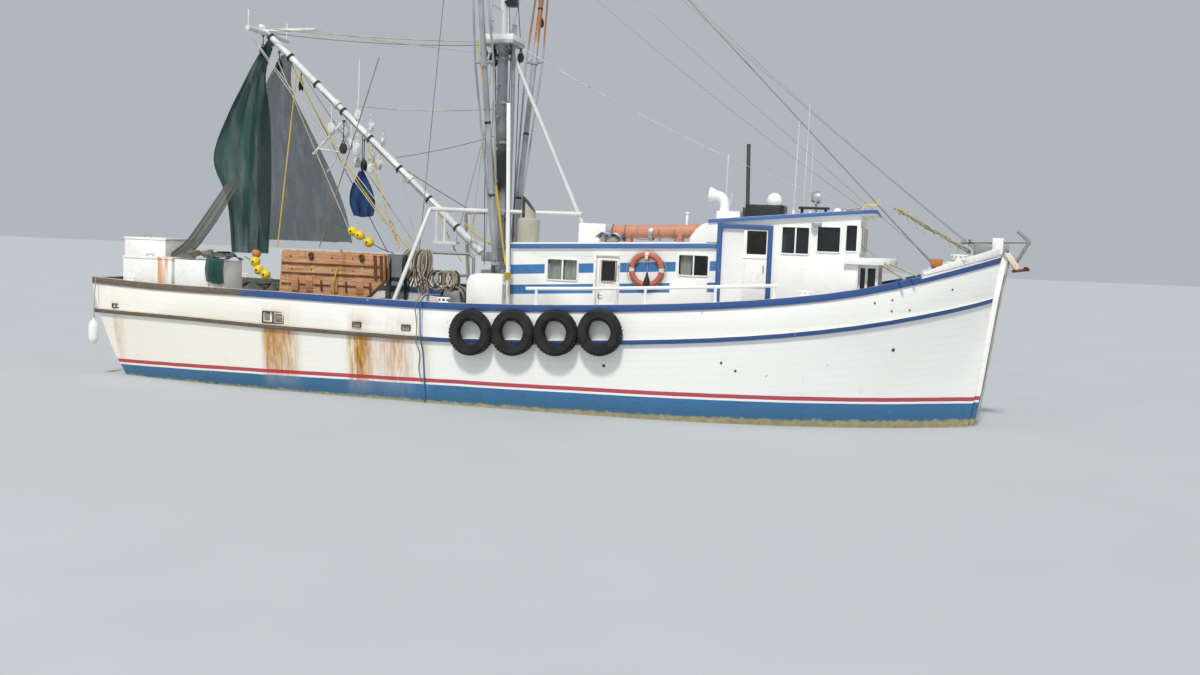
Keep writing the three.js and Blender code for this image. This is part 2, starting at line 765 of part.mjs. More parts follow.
function onLowRoof(geometry) {
  return trimBelow(geometry, (x) => lowRoofZ(x) + LOW_ROOF_THICK + GAP);
}

function onPilotRoof(geometry) {
  return trimBelow(geometry, (x) => pilotRoofZ(x) + PILOT_ROOF_THICK + GAP);
}

function stack() {
  const at = [90, -1300];
  const base = lowRoofZ(at[0] + 240) + LOW_ROOF_THICK + 2;
  const drum = turned(
    [[0, 0], [243, 0], [243, 505], [215, 535], [150, 550], [150, 1040], [0, 1040]],
    24,
  ).translate(at[0], at[1], base + 10);
  const slant = sidePrism([[-200, 4490], [-60, 4490], [240, 4120], [400, 4120], [400, 4800], [-200, 4800]],
    [-1600, -1000]);
  const foot = box([at[0] - 180, at[0] + 180], [at[1] - 180, at[1] + 180], [base - 60, base + 60]);
  return onLowRoof(cut(join(drum, foot), slant));
}

function roofBox() {
  const body = box([1290, 1880], [-1500, -820], [3380, 3930]);
  return onLowRoof(body);
}

// A long round float lashed along the low roof, on two chocks.
function roofFloat() {
  const z = 3770;
  const r = 140;
  const [x0, x1] = [1990, 3950];
  const body = bar([x0 + 90, -1450, z], [x1 - 90, -1450, z + 70], r, 16);
  const ends = [
    bar([x0, -1450, z - 3], [x0 + 91, -1450, z], 80, 16, r),
    bar([x1 - 91, -1450, z + 70], [x1, -1450, z + 73], r, 16, 80),
  ];
  const chocks = [2400, 3500].map((x) => box([x - 50, x + 50], [-1580, -1320], [3380, z + 10]));
  return onLowRoof(join(body, ...ends, ...chocks));
}

// A cowl vent on its locker: an upright trunk that bends to an open bell facing aft.
function cowlVent() {
  const path = new THREE.CatmullRomCurve3(
    [[4290, 4170], [4290, 4420], [4270, 4520], [4190, 4600], [4080, 4620]].map(
      ([x, z]) => new THREE.Vector3(x, -800, z),
    ),
  );
  const ring = [];
  for (let i = 0; i < 16; i++) {
    const a = (i / 16) * 2 * Math.PI;
    ring.push(new THREE.Vector2(105 * Math.cos(a), 105 * Math.sin(a)));
  }
  const trunk = new THREE.ExtrudeGeometry(new THREE.Shape(ring), { steps: 10, extrudePath: path });
  const bell = bar([4100, -800, 4618], [3960, -800, 4640], 112, 16, 165);
  const mouth = bar([4090, -800, 4619], [3940, -800, 4643], 80, 16, 150);
  const locker = box([4150, 4640], [-960, -480], [4000, 4290]);
  return onPilotRoof(cut(join(trunk, bell, locker), mouth));
}

// The low black raft case on the pilothouse roof, with the dome on it and the light post at its aft end.
function roofDeckGear() {
  const slab = planPrism(
    [[4780, -1150], [5500, -1150], [5570, -1080], [5570, -420], [5500, -350], [4780, -350]],
    [4000, 4440],
  );
  return onPilotRoof(join(slab, radarDome(), lightPost()));
}

function radarDome() {
  const profile = [[0, 0], [150, 0], [170, 60], [165, 130], [125, 220], [60, 270], [0, 280]];
  const dome = turned(profile, 20).translate(5330, -760, 4430);
  return dome;
}

function lightPost() {
  const post = bar([4710, -250, 4100], [4660, -250, 5760], 42, 12);
  const base = box([4620, 4800], [-420, -180], [4000, 4400]);
  return join(post, base);
}

function lifebuoy() {
  const profile = [];
  for (let i = 0; i <= 8; i++) {
    const a = (i / 8) * 2 * Math.PI;
    profile.push([318 + 63 * Math.cos(a), 50 * Math.sin(a)]);
  }
  const ring = turned(profile, 22).rotateX(Math.PI / 2);
  return ring.translate(2890, -HOUSE_HALF - 50 - 4, 3000);
}

function buoyHook() {
  return join(
    box([2850, 2930], [-HOUSE_HALF - 12, -HOUSE_HALF - GAP], [3180, 3330]),
    box([2850, 2930], [-HOUSE_HALF - 120, -HOUSE_HALF - GAP], [3225, 3262]),
    box([2850, 2930], [-HOUSE_HALF - 120, -HOUSE_HALF - 106], [3225, 3290]),
  );
}

// Fender tyres: [x, z] of each centre
const TYRES = [[-485, 1590], [428, 1640], [1341, 1690], [2254, 1745]];
const TYRE_R = 475;
const TYRE_WIDE = 215;
const TYRE_SAG = 0.945; // each hangs a little narrower than it is tall

function tyre([x, z]) {
  const profile = [
    [255, -60], [300, -105], [425, -105], [TYRE_R, -50], [TYRE_R, 50],
    [425, 105], [300, 105], [255, 60], [280, 40], [280, -40], [255, -60],
  ];
  const ring = turned(profile.map(([r, h]) => [r, (h * TYRE_WIDE) / 210]), 24).rotateX(Math.PI / 2);
  const widest = Math.max(...[x - TYRE_R, x, x + TYRE_R].map((at) => sectionHalf(at, deckZ(at))));
  const out = widest + RUB_OUT + 4 + TYRE_WIDE / 2;
  ring.scale(TYRE_SAG, 1, 1);
  const rail = sectionHalf(x, capZ(x)) + CAP_OVERHANG / 2;
  const lanyard = box([x - 18, x + 18], [-out, -rail], [capZ(x) + 5, capZ(x) + 45]);
  const rails = [[0, -GAP, 0], [0, -GAP, -GAP]].map((step) => capRail(-1).translate(...step));
  return cut(join(ring.translate(x, -out, z), lanyard), ...rails);
}

// Mast and fixed frames

function mast() {
  const pole = bar([MAST_X, 0, 1300], [MAST_X - 110, 0, 8000], MAST_R, 20, MAST_R - 15);
  const topmast = bar([MAST_X - 110, 0, 7950], [MAST_X - 140, 0, MAST_TOP], 78, 16, 45);
  const crosstree = box([MAST_X - 500, MAST_X + 280], [-420, 420], [7920, 8120]);
  const table = box([MAST_X - 330, MAST_X + 210], [-400, 400], [2700, 2810]);
  const ears = [-1, 1].flatMap((side) =>
    [-EAR_INSIDE - 20, EAR_INSIDE].map((dx) => {
      const x = OUTRIGGER_FOOT.x + dx;
      const y = side * OUTRIGGER_FOOT.y;
      return box([x, x + 20], [Math.min(y, side * 380) - 60, Math.max(y, side * 380) + 60], [2740, 3010]);
    }),
  );
  const foot = box([MAST_X - 260, MAST_X + 260], [-260, 260], [1400, 1700]);
  const stepHigh = [BOOM_FOOT[2] - 120, BOOM_FOOT[2] + 100];
  const step = [
    box([BOOM_FOOT[0] - 50, MAST_X], [-STEP_INSIDE - 20, -STEP_INSIDE], stepHigh),
    box([BOOM_FOOT[0] - 50, MAST_X], [STEP_INSIDE, STEP_INSIDE + 20], stepHigh),
  ];
  return onDeck(join(pole, topmast, crosstree, table, foot, ...ears, ...step));
}

// Pipe gallows: two pipes that pass the mast and spread aft to a splayed leg each, and a strut from the
// masthead down to the low roof, where their fore ends meet.
const GALLOWS = {
  r: 48,
  apex: [-2330, 1075, 4140], // aft end of each pipe, on top of its leg
  foot: [-2755, 2640, 1300],
  waist: [-900, 195, 4155], // where a pipe passes the mast
  fore: [925, 40, 4160],
  strut: [[1240, 0, 3300], [-930, 0, 7880]],
};

function gallows() {
  const { r, apex, foot, waist, fore, strut } = GALLOWS;
  const parts = [bar(strut[0], strut[1], r, 10)];
  for (const side of [-1, 1]) {
    const on = ([x, y, z]) => [x, side * y, z];
    const along = (t) => apex.map((value, i) => mix(value, waist[i], t));
    parts.push(
      bar(on(apex), on(waist), r, 8),
      bar(on(waist), on(fore), r, 8),
      bar(on(foot), on(apex), r, 8),
    );
    for (const t of [0.09, 0.2]) {
      const [x, y, z] = along(t);
      parts.push(bar([x, side * y, 3400], [x, side * y, z], 26, 8));
    }
    const [x, y] = along(0.09);
    parts.push(box([x - 30, x + 530], [side * y - 110, side * y + 110].sort((a, b) => a - b), [3370, 3430]));
  }
  parts.push(box([MAST_X - 210, MAST_X + 110], [-250, 250], [4080, 4230]));
  const body = join(...parts);
  const pole = bar([MAST_X - GAP, 0, 1300], [MAST_X - 110 - GAP, 0, 8000], MAST_R + 2, 20, MAST_R - 13);
  const crosstree = box([MAST_X - 500, MAST_X + 280], [-420, 420], [7920 - GAP, 8120]);
  const roof = box([900, 1500], [-300, 300], [3000, lowRoofZ(1300) + LOW_ROOF_THICK + GAP]);
  return onDeck(cut(body, pole, crosstree, roof));
}

// Winch: a bedplate with two cheeks, and a drum that turns between them.
const WINCH = { x: -1950, z: 2120, cheek: 560 };

function winchFrame() {
  const outer = WINCH.cheek + 70;
  const bed = box([WINCH.x - 400, WINCH.x + 400], [-outer, outer], [1200, 1640]);
  const cheeks = [-1, 1].map((side) => {
    const y = side < 0 ? [-outer, -WINCH.cheek] : [WINCH.cheek, outer];
    return sidePrism(
      [
        [WINCH.x - 380, 1600], [WINCH.x + 380, 1600], [WINCH.x + 170, WINCH.z + 190],
        [WINCH.x - 170, WINCH.z + 190],
      ],
      y,
    );
  });
  return onDeck(join(bed, ...cheeks));
}

function winchDrum() {
  const reach = WINCH.cheek - 2 * GAP;
  const [flange, barrel, thick] = [330, 150, 40];
  const profile = [
    [0, -reach], [70, -reach], [70, 40 - reach], [flange, 40 - reach], [flange, 40 + thick - reach],
    [barrel, 40 + thick - reach], [barrel, -thick], [flange, -thick], [flange, thick], [barrel, thick],
    [barrel, reach - thick - 40], [flange, reach - thick - 40], [flange, reach - 40], [70, reach - 40],
    [70, reach], [0, reach],
  ];
  return turned(profile, 20).rotateX(Math.PI / 2).translate(WINCH.x, 0, WINCH.z);
}

// Pipe rack abaft the tank: a tall bent loop that the rope hanks hang on, and a lower frame outboard of it.
const LOOP = { x: [-2690, -1080], y: -1500, z: 3170, r: 34 };
const LOW_FRAME = { x: [-1870, -1150], y: -2130, z: 2740, r: 26 };

function bentLoop({ x: [x0, x1], y, z, r }) {
  const bend = 90;
  return [
    bar([x0, y, 1200], [x0, y, z - bend], r, 10),
    bar([x0, y, z - bend], [x0 + bend, y, z], r, 10),
    bar([x0 + bend, y, z], [x1 - bend, y, z], r, 10),
    bar([x1 - bend, y, z], [x1, y, z - bend], r, 10),
    bar([x1, y, z - bend], [x1, y, 1200], r, 10),
  ];
}

function gearRack() {
  const links = LOW_FRAME.x.map((x) => bar([x, LOW_FRAME.y, 2700], [x, LOOP.y, 2700], 26, 8));
  const brace = bar([LOOP.x[0], LOOP.y, 2700], [LOOP.x[1], LOOP.y, 2700], 26, 8);
  return [...bentLoop(LOOP), ...bentLoop(LOW_FRAME), ...links, brace];
}

const BOARD_RACK_Z = 2130;

// Trawl boards: planked doors with iron straps, standing on their long edge: [y of middle, lean in degrees]
const BOARDS = [[-2230, 7], [-1960, 7]];

function trawlBoard([y, lean], index) {
  const [x0, x1] = [-5400 + index * 120, -2810 - index * 40];
  const high = 960;
  const thick = 70;
  const outline = [[x0, 0], [x1 - 430, 0], [x1, 400], [x1, high], [x0 + 130, high]];
  const board = sidePrism(outline, [-thick / 2, thick / 2]);
  const straps = [0.09, 0.34, 0.6, 0.8].map((t) => {
    const x = mix(x0, x1, t);
    return box([x - 40, x + 40], [-thick / 2 - 12, thick / 2 + 12], [0, high + 8]);
  });
  const shoe = box([x0, x1 - 430], [-thick / 2 - 20, thick / 2 + 20], [-10, 40]);
  const body = join(board, ...straps, shoe);
  const tilt = (lean * Math.PI) / 180;
  const lowest = 10 * Math.cos(tilt) + (thick / 2 + 20) * Math.sin(tilt);
  return body.rotateX(tilt).translate(0, y, BOARD_RACK_Z + lowest + GAP);
}

// Bench that carries the trawl boards level with the rail, tied to the foot of the rack.
function boardRack() {
  const parts = [];
  for (const x of [-5120, -4100, -3000]) {
    parts.push(
      box([x - 45, x + 45], [-2420, -2330], [1200, BOARD_RACK_Z]),
      box([x - 45, x + 45], [-1760, -1670], [1200, 3000]),
      box([x - 45, x + 45], [-2420, -1670], [BOARD_RACK_Z - 90, BOARD_RACK_Z]),
    );
  }
  parts.push(
    box([-5165, -2650], [-1760, -1670], [2500, 2590]),
    bar([LOOP.x[0], -1720, 2545], [LOOP.x[0], LOOP.y, 2545], 30, 8),
  );
  return onDeck(join(...parts, ...gearRack()));
}

// Stern boxes: [x from, x to, y from, y to, top]
const STERN_BOXES = {
  iceChest: [-9560, -8260, -2130, -1520, 2760],
  sternLocker: [-10110, -8980, -1360, -150, 3190],
  bin: [-8180, -6880, -2130, -1400, 2780],
};

function openBox([x0, x1, y0, y1, top]) {
  const body = box([x0, x1], [y0, y1], [1300, top]);
  const room = box([x0 + 50, x1 - 50], [y0 + 50, y1 - 50], [1700, top + 10]);
  return onDeck(cut(body, room));
}

// A lid hinged along its inboard edge, with a rim that laps over the box.
function boxLid([x0, x1, y0, y1, top]) {
  const low = top + GAP * 2;
  const lid = box([x0 - 15, x1 + 15], [y0 - 15, y1 + 8], [low, low + 50]);
  const hinge = bar([x0 + 60, y1 + 8, low + 25], [x1 - 60, y1 + 8, low + 25], 20, 12);
  return join(lid, hinge);
}

// White deck tank at the deckhouse's aft corner, with a tall pole clamped to its fore side
const TANK = { x: [-970, -165], y: [-2150, -1380], top: 2770 };

function deckTank() {
  const [x0, x1] = TANK.x;
  const top = TANK.top;
  const outline = [[x0, 1200], [x1, 1200], [x1, top], [x0 + 190, top], [x0 + 60, top - 50], [x0, top - 180]];
  const pole = bar([-20, -2100, 1300], [-165, -2100, 6370], 43, 12);
  const clamps = [1900, 2560].map((z) => box([x1 - 20, -30], [-2125, -2075], [z, z + 60]));
  const body = onDeck(join(sidePrism(outline, TANK.y), pole, ...clamps));
  return cut(body, houseSide(), houseRoof());
}

// Fish hatch amidships on the working deck
const HATCH = { x: [-6100, -4900], y: [-600, 600], top: 1960 };

function hatchCoaming() {
  const body = box(HATCH.x, HATCH.y, [1200, HATCH.top]);
  const room = box([HATCH.x[0] + 60, HATCH.x[1] - 60], [HATCH.y[0] + 60, HATCH.y[1] - 60], [1560, 2100]);
  return onDeck(cut(body, room));
}

function hatchCover() {
  const low = HATCH.top + 2 * GAP;
  const slab = box([HATCH.x[0] - 20, HATCH.x[1] + 10], [HATCH.y[0] - 30, HATCH.y[1] + 30], [low, low + 60]);
  const hinge = bar([HATCH.x[1] + 10, -400, low + 30], [HATCH.x[1] + 10, 400, low + 30], 24, 12);
  return join(slab, hinge);
}

// Mooring bitts: [x, y, between posts], a post pair with a cross bar that also takes the forestay
const BITT_HEAD = 30;
const BOW_BITTS = [8870, 0, 520];

function bitt([x, y, wide]) {
  const top = deckZ(x) + 640;
  const posts = [-1, 1].map((side) => {
    const middle = y + (side * wide) / 2;
    return box([x - 70, x + 70], [middle - 70, middle + 70], [1200, top]);
  });
  const reach = wide / 2 + 160;
  const cross = box([x - 45, x + 45], [y - reach, y + reach], [top - 120, top - BITT_HEAD]);
  return onDeck(join(...posts, cross));
}

// Anchor stowed over the stem head, with its wooden roller chock.
function anchorChock() {
  const seat = (x) => capZ(x) + CAP_HIGH + 3;
  const top = STEM_HEAD + 170;
  const outline = [
    [9420, seat(9420)], [9700, seat(9700)], [9960, Math.max(seat(9960), STEM_HEAD + 2 * GAP)],
    [10100, STEM_HEAD + 2 * GAP], [10100, top], [9420, top],
  ];
  return sidePrism(outline, [-150, 150]);
}

function anchor() {
  const z = STEM_HEAD + 170 + 30;
  const shank = bar([9150, 0, z - 20], [10520, 0, z + 40], 34, 10);
  const stock = bar([9330, -480, z + 30], [9330, 480, z + 30], 24, 10);
  const arms = [[-40, 250], [40, -420]].map(([y, drop]) => {
    return bar([10500, 0, z + 40], [10250, y, z + drop], 36, 10);
  });
  return join(shank, stock, ...arms);
}

// Moving spars

function boom() {
  const foot = new THREE.Vector3(...BOOM_FOOT);
  const tip = new THREE.Vector3(...BOOM_TIP);
  const way = tip.clone().sub(foot).normalize();
  const at = (d) => foot.clone().addScaledVector(way, d).toArray();
  const total = tip.distanceTo(foot);
  const pole = bar(at(120), at(total), BOOM_R, 14, BOOM_R - 18);
  const tongue = bar(at(-58), at(160), 56, 10);
  const eye = bar([foot.x, GAP - STEP_INSIDE, foot.z], [foot.x, STEP_INSIDE - GAP, foot.z], 55, 12);
  const spreader = bar([tip.x + 220, -900, tip.z - 200], [tip.x + 220, 900, tip.z - 200], 62, 10);
  const strut = bar([tip.x + 130, 0, tip.z - 110], [tip.x + 1480, 0, tip.z - 100], 42, 8);
  const collars = [2600, 5200].map((d) => bar(at(d - 60), at(d + 60), BOOM_R + 22, 14));
  return join(pole, tongue, eye, spreader, strut, ...collars);
}

// One outrigger: a tapering pipe hinged at the mast table, braced by rods that a spreader collar holds off.
function outrigger(side) {
  const lean = (OUTRIGGER_LEAN * Math.PI) / 180;
  const long = OUTRIGGER_LONG;
  const collar = side < 0 ? COLLAR_AT.starboard : COLLAR_AT.port;
  const parts = [
    bar([0, 0, 120], [0, 0, long], OUTRIGGER_R, 14, OUTRIGGER_R - 24),
    bar([0, 0, long - 60], [0, 0, long + 60], 70, 10),
    bar([-COLLAR_REACH, 0, collar], [COLLAR_REACH, 0, collar], 36, 8),
    bar([0, 0, collar - 70], [0, 0, collar + 70], OUTRIGGER_R + 20, 14),
    box([-62, 62], [-45, 45], [0, 190]),
    bar([GAP - EAR_INSIDE, 0, 0], [EAR_INSIDE - GAP, 0, 0], 46, 12),
  ];
  for (const dx of [-1, 1]) {
    const out = dx * COLLAR_REACH;
    parts.push(bar([dx * 55, 0, 420], [out, 0, collar], 24, 6));
    parts.push(bar([out, 0, collar], [dx * 40, 0, long - 700], 24, 6));
  }
  const body = join(...parts);
  body.rotateX(-side * lean);
  return body.translate(OUTRIGGER_FOOT.x, side * OUTRIGGER_FOOT.y, OUTRIGGER_FOOT.z);
}

// The wire forestay from the topmast down to the bow bitts
function forestay() {
  const seat = deckZ(BOW_BITTS[0]) + 640 - BITT_HEAD;
  const wire = bar([MAST_X - 60, 0, MAST_TOP - 350], [BOW_BITTS[0] + 30, 0, seat - 30], 14, 8);
  return cut(wire, box([8000, 9500], [-200, 200], [seat - 200, seat + GAP]));
}

// Nets: the gathered webs that hang from the boom, as plain bags. Each row: [x, y, z, half x, half y]
const NET_AFT = [
  [-7040, 0, 8096, 90, 90], [-7400, 0, 7300, 170, 150], [-7620, 0, 6300, 400, 280],
  [-7760, 0, 5200, 540, 340], [-7570, 0, 4200, 390, 320], [-7530, 0, 2950, 320, 260],
];
const NET_FORE = [
  [-6620, 0, 7722, 80, 80], [-6820, 0, 6950, 190, 190], [-6660, 0, 6100, 440, 300],
  [-6340, 0, 5000, 700, 360], [-6110, 0, 4100, 880, 380], [-5920, 0, 3300, 940, 340],
];

function netBag(rows) {
  const rings = rows.map(([x, y, z, rx, ry]) => {
    const ring = [];
    for (let i = 0; i < 12; i++) {
      const a = ((i + 0.5) / 12) * 2 * Math.PI;
      ring.push([x + rx * Math.cos(a), y + ry * Math.sin(a), z]);
    }
    return ring;
  });
  const pole = bar(BOOM_FOOT, BOOM_TIP, BOOM_R + 2 * GAP, 14, BOOM_R - 18 + 2 * GAP);
  return cut(loft(rings), pole);
}

// The heap of net on the stern deck.
function netHeap() {
  const outline = [[-8200, -900], [-7000, -1050], [-6350, -700], [-6350, 900], [-7200, 1150], [-8250, 800]];
  const low = planPrism(outline, [1200, 1900]);
  const high = planPrism(outline.map(([x, y]) => [-7300 + (x + 7300) * 0.6, y * 0.6]), [1850, 2120]);
  return onDeck(join(low, high));
}

// Materials: [colour, roughness, metalness]
const PAINTS = {
  white: [0xf2f2ec, 0.5, 0],
  blue: [0x2f63a0, 0.5, 0],
  bottom: [0x1e699b, 0.6, 0],
  wood: [0x8a6244, 0.8, 0],
  grey: [0x8d8f8c, 0.6, 0.4],
  iron: [0x6d4c3a, 0.8, 0.5],
  bronze: [0x8c6b3a, 0.4, 0.8],
  rubber: [0x161616, 0.9, 0],
  orange: [0xd75f46, 0.6, 0],
  float: [0xe08a62, 0.6, 0],
  black: [0x15161a, 0.5, 0],
  net: [0x2f5f55, 0.9, 0],
  steel: [0x9a9a96, 0.4, 0.8],
};

const trawler = new THREE.Group();
trawler.name = "fishing_trawler";

function add(name, geometry, paint) {
  const [color, roughness, metalness] = PAINTS[paint];
  const mesh = new THREE.Mesh(geometry, new THREE.MeshStandardMaterial({ color, roughness, metalness }));
  mesh.name = name;
  trawler.add(mesh);
}

add("hull", HULL, "white");
add("keel", backbone(), "bottom");
add("bulwark_starboard", bulwarkWithPorts(-1), "white");
add("bulwark_port", mirrored(bulwarkWithPorts(-1)), "white");
add("bulwark_stern", sternWall(), "white");
add("cap_rail", capRails(), "blue");
add("rub_rail", rubRails(), "blue");
add("side_rail_starboard", sideRail(), "white");
add("side_rail_port", mirrored(sideRail()), "white");
add("rudder", rudder(), "bottom");
add("propeller", propeller(), "bronze");
add("house_side_starboard", houseSide(), "white");
add("house_side_port", mirrored(houseSide()), "white");
add("house_aft_wall", houseAftWall(), "white");
add("house_roof", houseRoof(), "white");
add("pilothouse_side_starboard", pilotSide(), "white");
add("pilothouse_side_port", mirrored(pilotSide()), "white");
add("pilothouse_front", pilotFront(), "white");
add("pilothouse_aft_wall", pilotAftWall(), "white");
add("pilothouse_roof", pilotRoof(), "white");
add("fore_cabin", join(cuddy(), visor()), "white");
add("pilot_door_starboard", pilotDoor(), "white");
add("pilot_door_port", mirrored(pilotDoor()), "white");
add("house_door_starboard", houseDoor(), "white");
add("house_door_port", mirrored(houseDoor()), "white");
add("house_door_aft", houseAftDoor(), "white");
add("stack", stack(), "grey");
add("roof_box", roofBox(), "white");
add("roof_float", roofFloat(), "float");
add("vent_locker", cowlVent(), "white");
add("roof_deck_gear", roofDeckGear(), "black");
add("lifebuoy", join(lifebuoy(), buoyHook()), "orange");
TYRES.forEach((row, i) => add(`tyre_${i + 1}`, tyre(row), "rubber"));
add("mast", mast(), "grey");
add("gallows", gallows(), "white");
add("winch_frame", winchFrame(), "iron");
add("winch_drum", winchDrum(), "iron");
add("gear_rack", boardRack(), "grey");
BOARDS.forEach((row, i) => add(`trawl_board_${i + 1}`, trawlBoard(row, i), "wood"));
add("boom", boom(), "white");
add("outrigger_starboard", outrigger(-1), "white");
add("outrigger_port", outrigger(1), "white");
add("ice_chest", openBox(STERN_BOXES.iceChest), "white");
add("ice_chest_lid", boxLid(STERN_BOXES.iceChest), "white");
add("stern_locker", openBox(STERN_BOXES.sternLocker), "white");
add("stern_locker_lid", boxLid(STERN_BOXES.sternLocker), "white");
add("bin", openBox(STERN_BOXES.bin), "white");
add("deck_tank", deckTank(), "white");
add("hatch_coaming", hatchCoaming(), "white");
add("hatch_cover", hatchCover(), "white");
add("bow_bitts", bitt(BOW_BITTS), "wood");
add("anchor", join(anchor(), anchorChock()), "iron");
add("forestay", forestay(), "steel");
add("net_aft", netBag(NET_AFT), "net");
add("net_fore", netBag(NET_FORE), "net");
add("net_heap", netHeap(), "net");

export default trawler;
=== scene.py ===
import json
import math
import random

import bpy
from bpy.props import FloatProperty, FloatVectorProperty, PointerProperty
from mathutils import Matrix, Vector
from mathutils.bvhtree import BVHTree

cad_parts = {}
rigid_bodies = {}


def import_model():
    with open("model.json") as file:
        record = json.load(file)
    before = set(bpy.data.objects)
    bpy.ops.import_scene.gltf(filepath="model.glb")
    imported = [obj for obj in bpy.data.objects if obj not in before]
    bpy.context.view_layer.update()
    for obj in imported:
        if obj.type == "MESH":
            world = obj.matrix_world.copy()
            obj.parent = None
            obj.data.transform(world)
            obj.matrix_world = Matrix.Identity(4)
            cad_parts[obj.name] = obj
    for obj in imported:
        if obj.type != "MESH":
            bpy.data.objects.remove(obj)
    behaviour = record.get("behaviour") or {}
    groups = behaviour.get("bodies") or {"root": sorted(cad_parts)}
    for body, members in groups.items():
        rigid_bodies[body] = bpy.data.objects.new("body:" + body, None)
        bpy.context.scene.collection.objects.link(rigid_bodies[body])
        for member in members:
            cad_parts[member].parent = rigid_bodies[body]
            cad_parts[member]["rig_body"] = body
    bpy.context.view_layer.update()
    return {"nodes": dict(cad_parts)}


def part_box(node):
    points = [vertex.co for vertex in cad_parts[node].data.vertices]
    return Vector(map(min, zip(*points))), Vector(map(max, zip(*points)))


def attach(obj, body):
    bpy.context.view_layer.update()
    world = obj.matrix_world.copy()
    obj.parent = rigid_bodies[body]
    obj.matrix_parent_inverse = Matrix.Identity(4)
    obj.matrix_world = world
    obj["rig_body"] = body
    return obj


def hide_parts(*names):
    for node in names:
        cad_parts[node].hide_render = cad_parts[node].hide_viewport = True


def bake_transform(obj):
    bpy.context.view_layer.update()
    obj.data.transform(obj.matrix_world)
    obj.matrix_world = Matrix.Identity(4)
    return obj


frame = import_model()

bl_info = {
    "name": "Shrimp Trawler",
    "version": (1, 0, 0),
    "blender": (4, 5, 0),
    "location": "View3D > Sidebar > Trawler",
    "description": "Dresses the packed trawler: paint, planks, windows, rigging, nets and deck gear",
    "category": "Object",
}

STARBOARD, PORT = -1, 1
COIL_STEPS = 14
SIDES = ((STARBOARD, "starboard"), (PORT, "port"))
HOUSE_Y = 1.8
BOOM_FOOT = Vector((-1.4, 0, 3.12))
BOOM_TIP = Vector((-7.36, 0, 8.44))
made = {}


# Sizes and colours that a user would change

def colour(name, about, rgb):
    return FloatVectorProperty(
        name=name, description=about, default=tuple(c / 255 for c in rgb), subtype="COLOR_GAMMA",
        size=3, min=0, max=1,
    )


class TrawlerPaint(bpy.types.PropertyGroup):
    white: colour("White", "Topsides and deckhouse", (246, 246, 242))
    trim: colour("Trim blue", "Cap rail, rub rail and roof edges", (54, 92, 146))
    band: colour("Band blue", "Bands along the deckhouse", (58, 112, 170))
    boot: colour("Boot-top blue", "Band above the waterline", (26, 96, 146))
    stripe: colour("Stripe red", "Thin stripe over the boot-top", (178, 34, 56))
    rust: colour("Rust", "Streaks under the ports", (204, 146, 50))
    net: colour("Net", "Main net panels", (34, 86, 76))
    yellow: colour("Yellow", "Floats and new rope", (238, 208, 36))
    ring: colour("Lifebuoy", "Lifebuoy cover", (198, 112, 92))
    float_skin: colour("Roof float", "Long float on the roof", (208, 150, 122))


class TrawlerWear(bpy.types.PropertyGroup):
    rust: FloatProperty(name="Rust", description="Strength of the rust streaks", default=1.0, min=0, max=1,
                        subtype="FACTOR")
    chips: FloatProperty(name="Chips", description="Share of paint that has flaked", default=0.35, min=0, max=1,
                         subtype="FACTOR")


class TrawlerRig(bpy.types.PropertyGroup):
    rope: FloatProperty(name="Rope", description="Radius of a working rope", default=0.013, min=0.004,
                        unit="LENGTH")
    wire: FloatProperty(name="Wire", description="Radius of a stay", default=0.011, min=0.003, unit="LENGTH")


class TrawlerStage(bpy.types.PropertyGroup):
    lens: FloatProperty(name="Lens", description="Camera focal length in mm", default=34.42, min=10)
    sun: FloatProperty(name="Main light", description="Strength of the main light", default=2.5, min=0)
    fill: FloatProperty(name="Fill light", description="Strength of the surroundings", default=0.55, min=0)


def paint_of(name):
    """A colour property as linear light."""
    return tuple(linear(c) for c in getattr(bpy.context.scene.trawler_paint, name))


def linear(c):
    return c / 12.92 if c <= 0.04045 else ((c + 0.055) / 1.055) ** 2.4


def rgb(r, g, b):
    return tuple(linear(c / 255) for c in (r, g, b))


# Finishes

def new_group(name, ins, outs):
    group = bpy.data.node_groups.new(name, "ShaderNodeTree")
    for socket, kind, value in ins:
        made_socket = group.interface.new_socket(socket, in_out="INPUT", socket_type=kind)
        made_socket.default_value = value
    for socket, kind in outs:
        group.interface.new_socket(socket, in_out="OUTPUT", socket_type=kind)
    w = Wiring(group)
    return w, w.node("NodeGroupInput").outputs, w.node("NodeGroupOutput").inputs


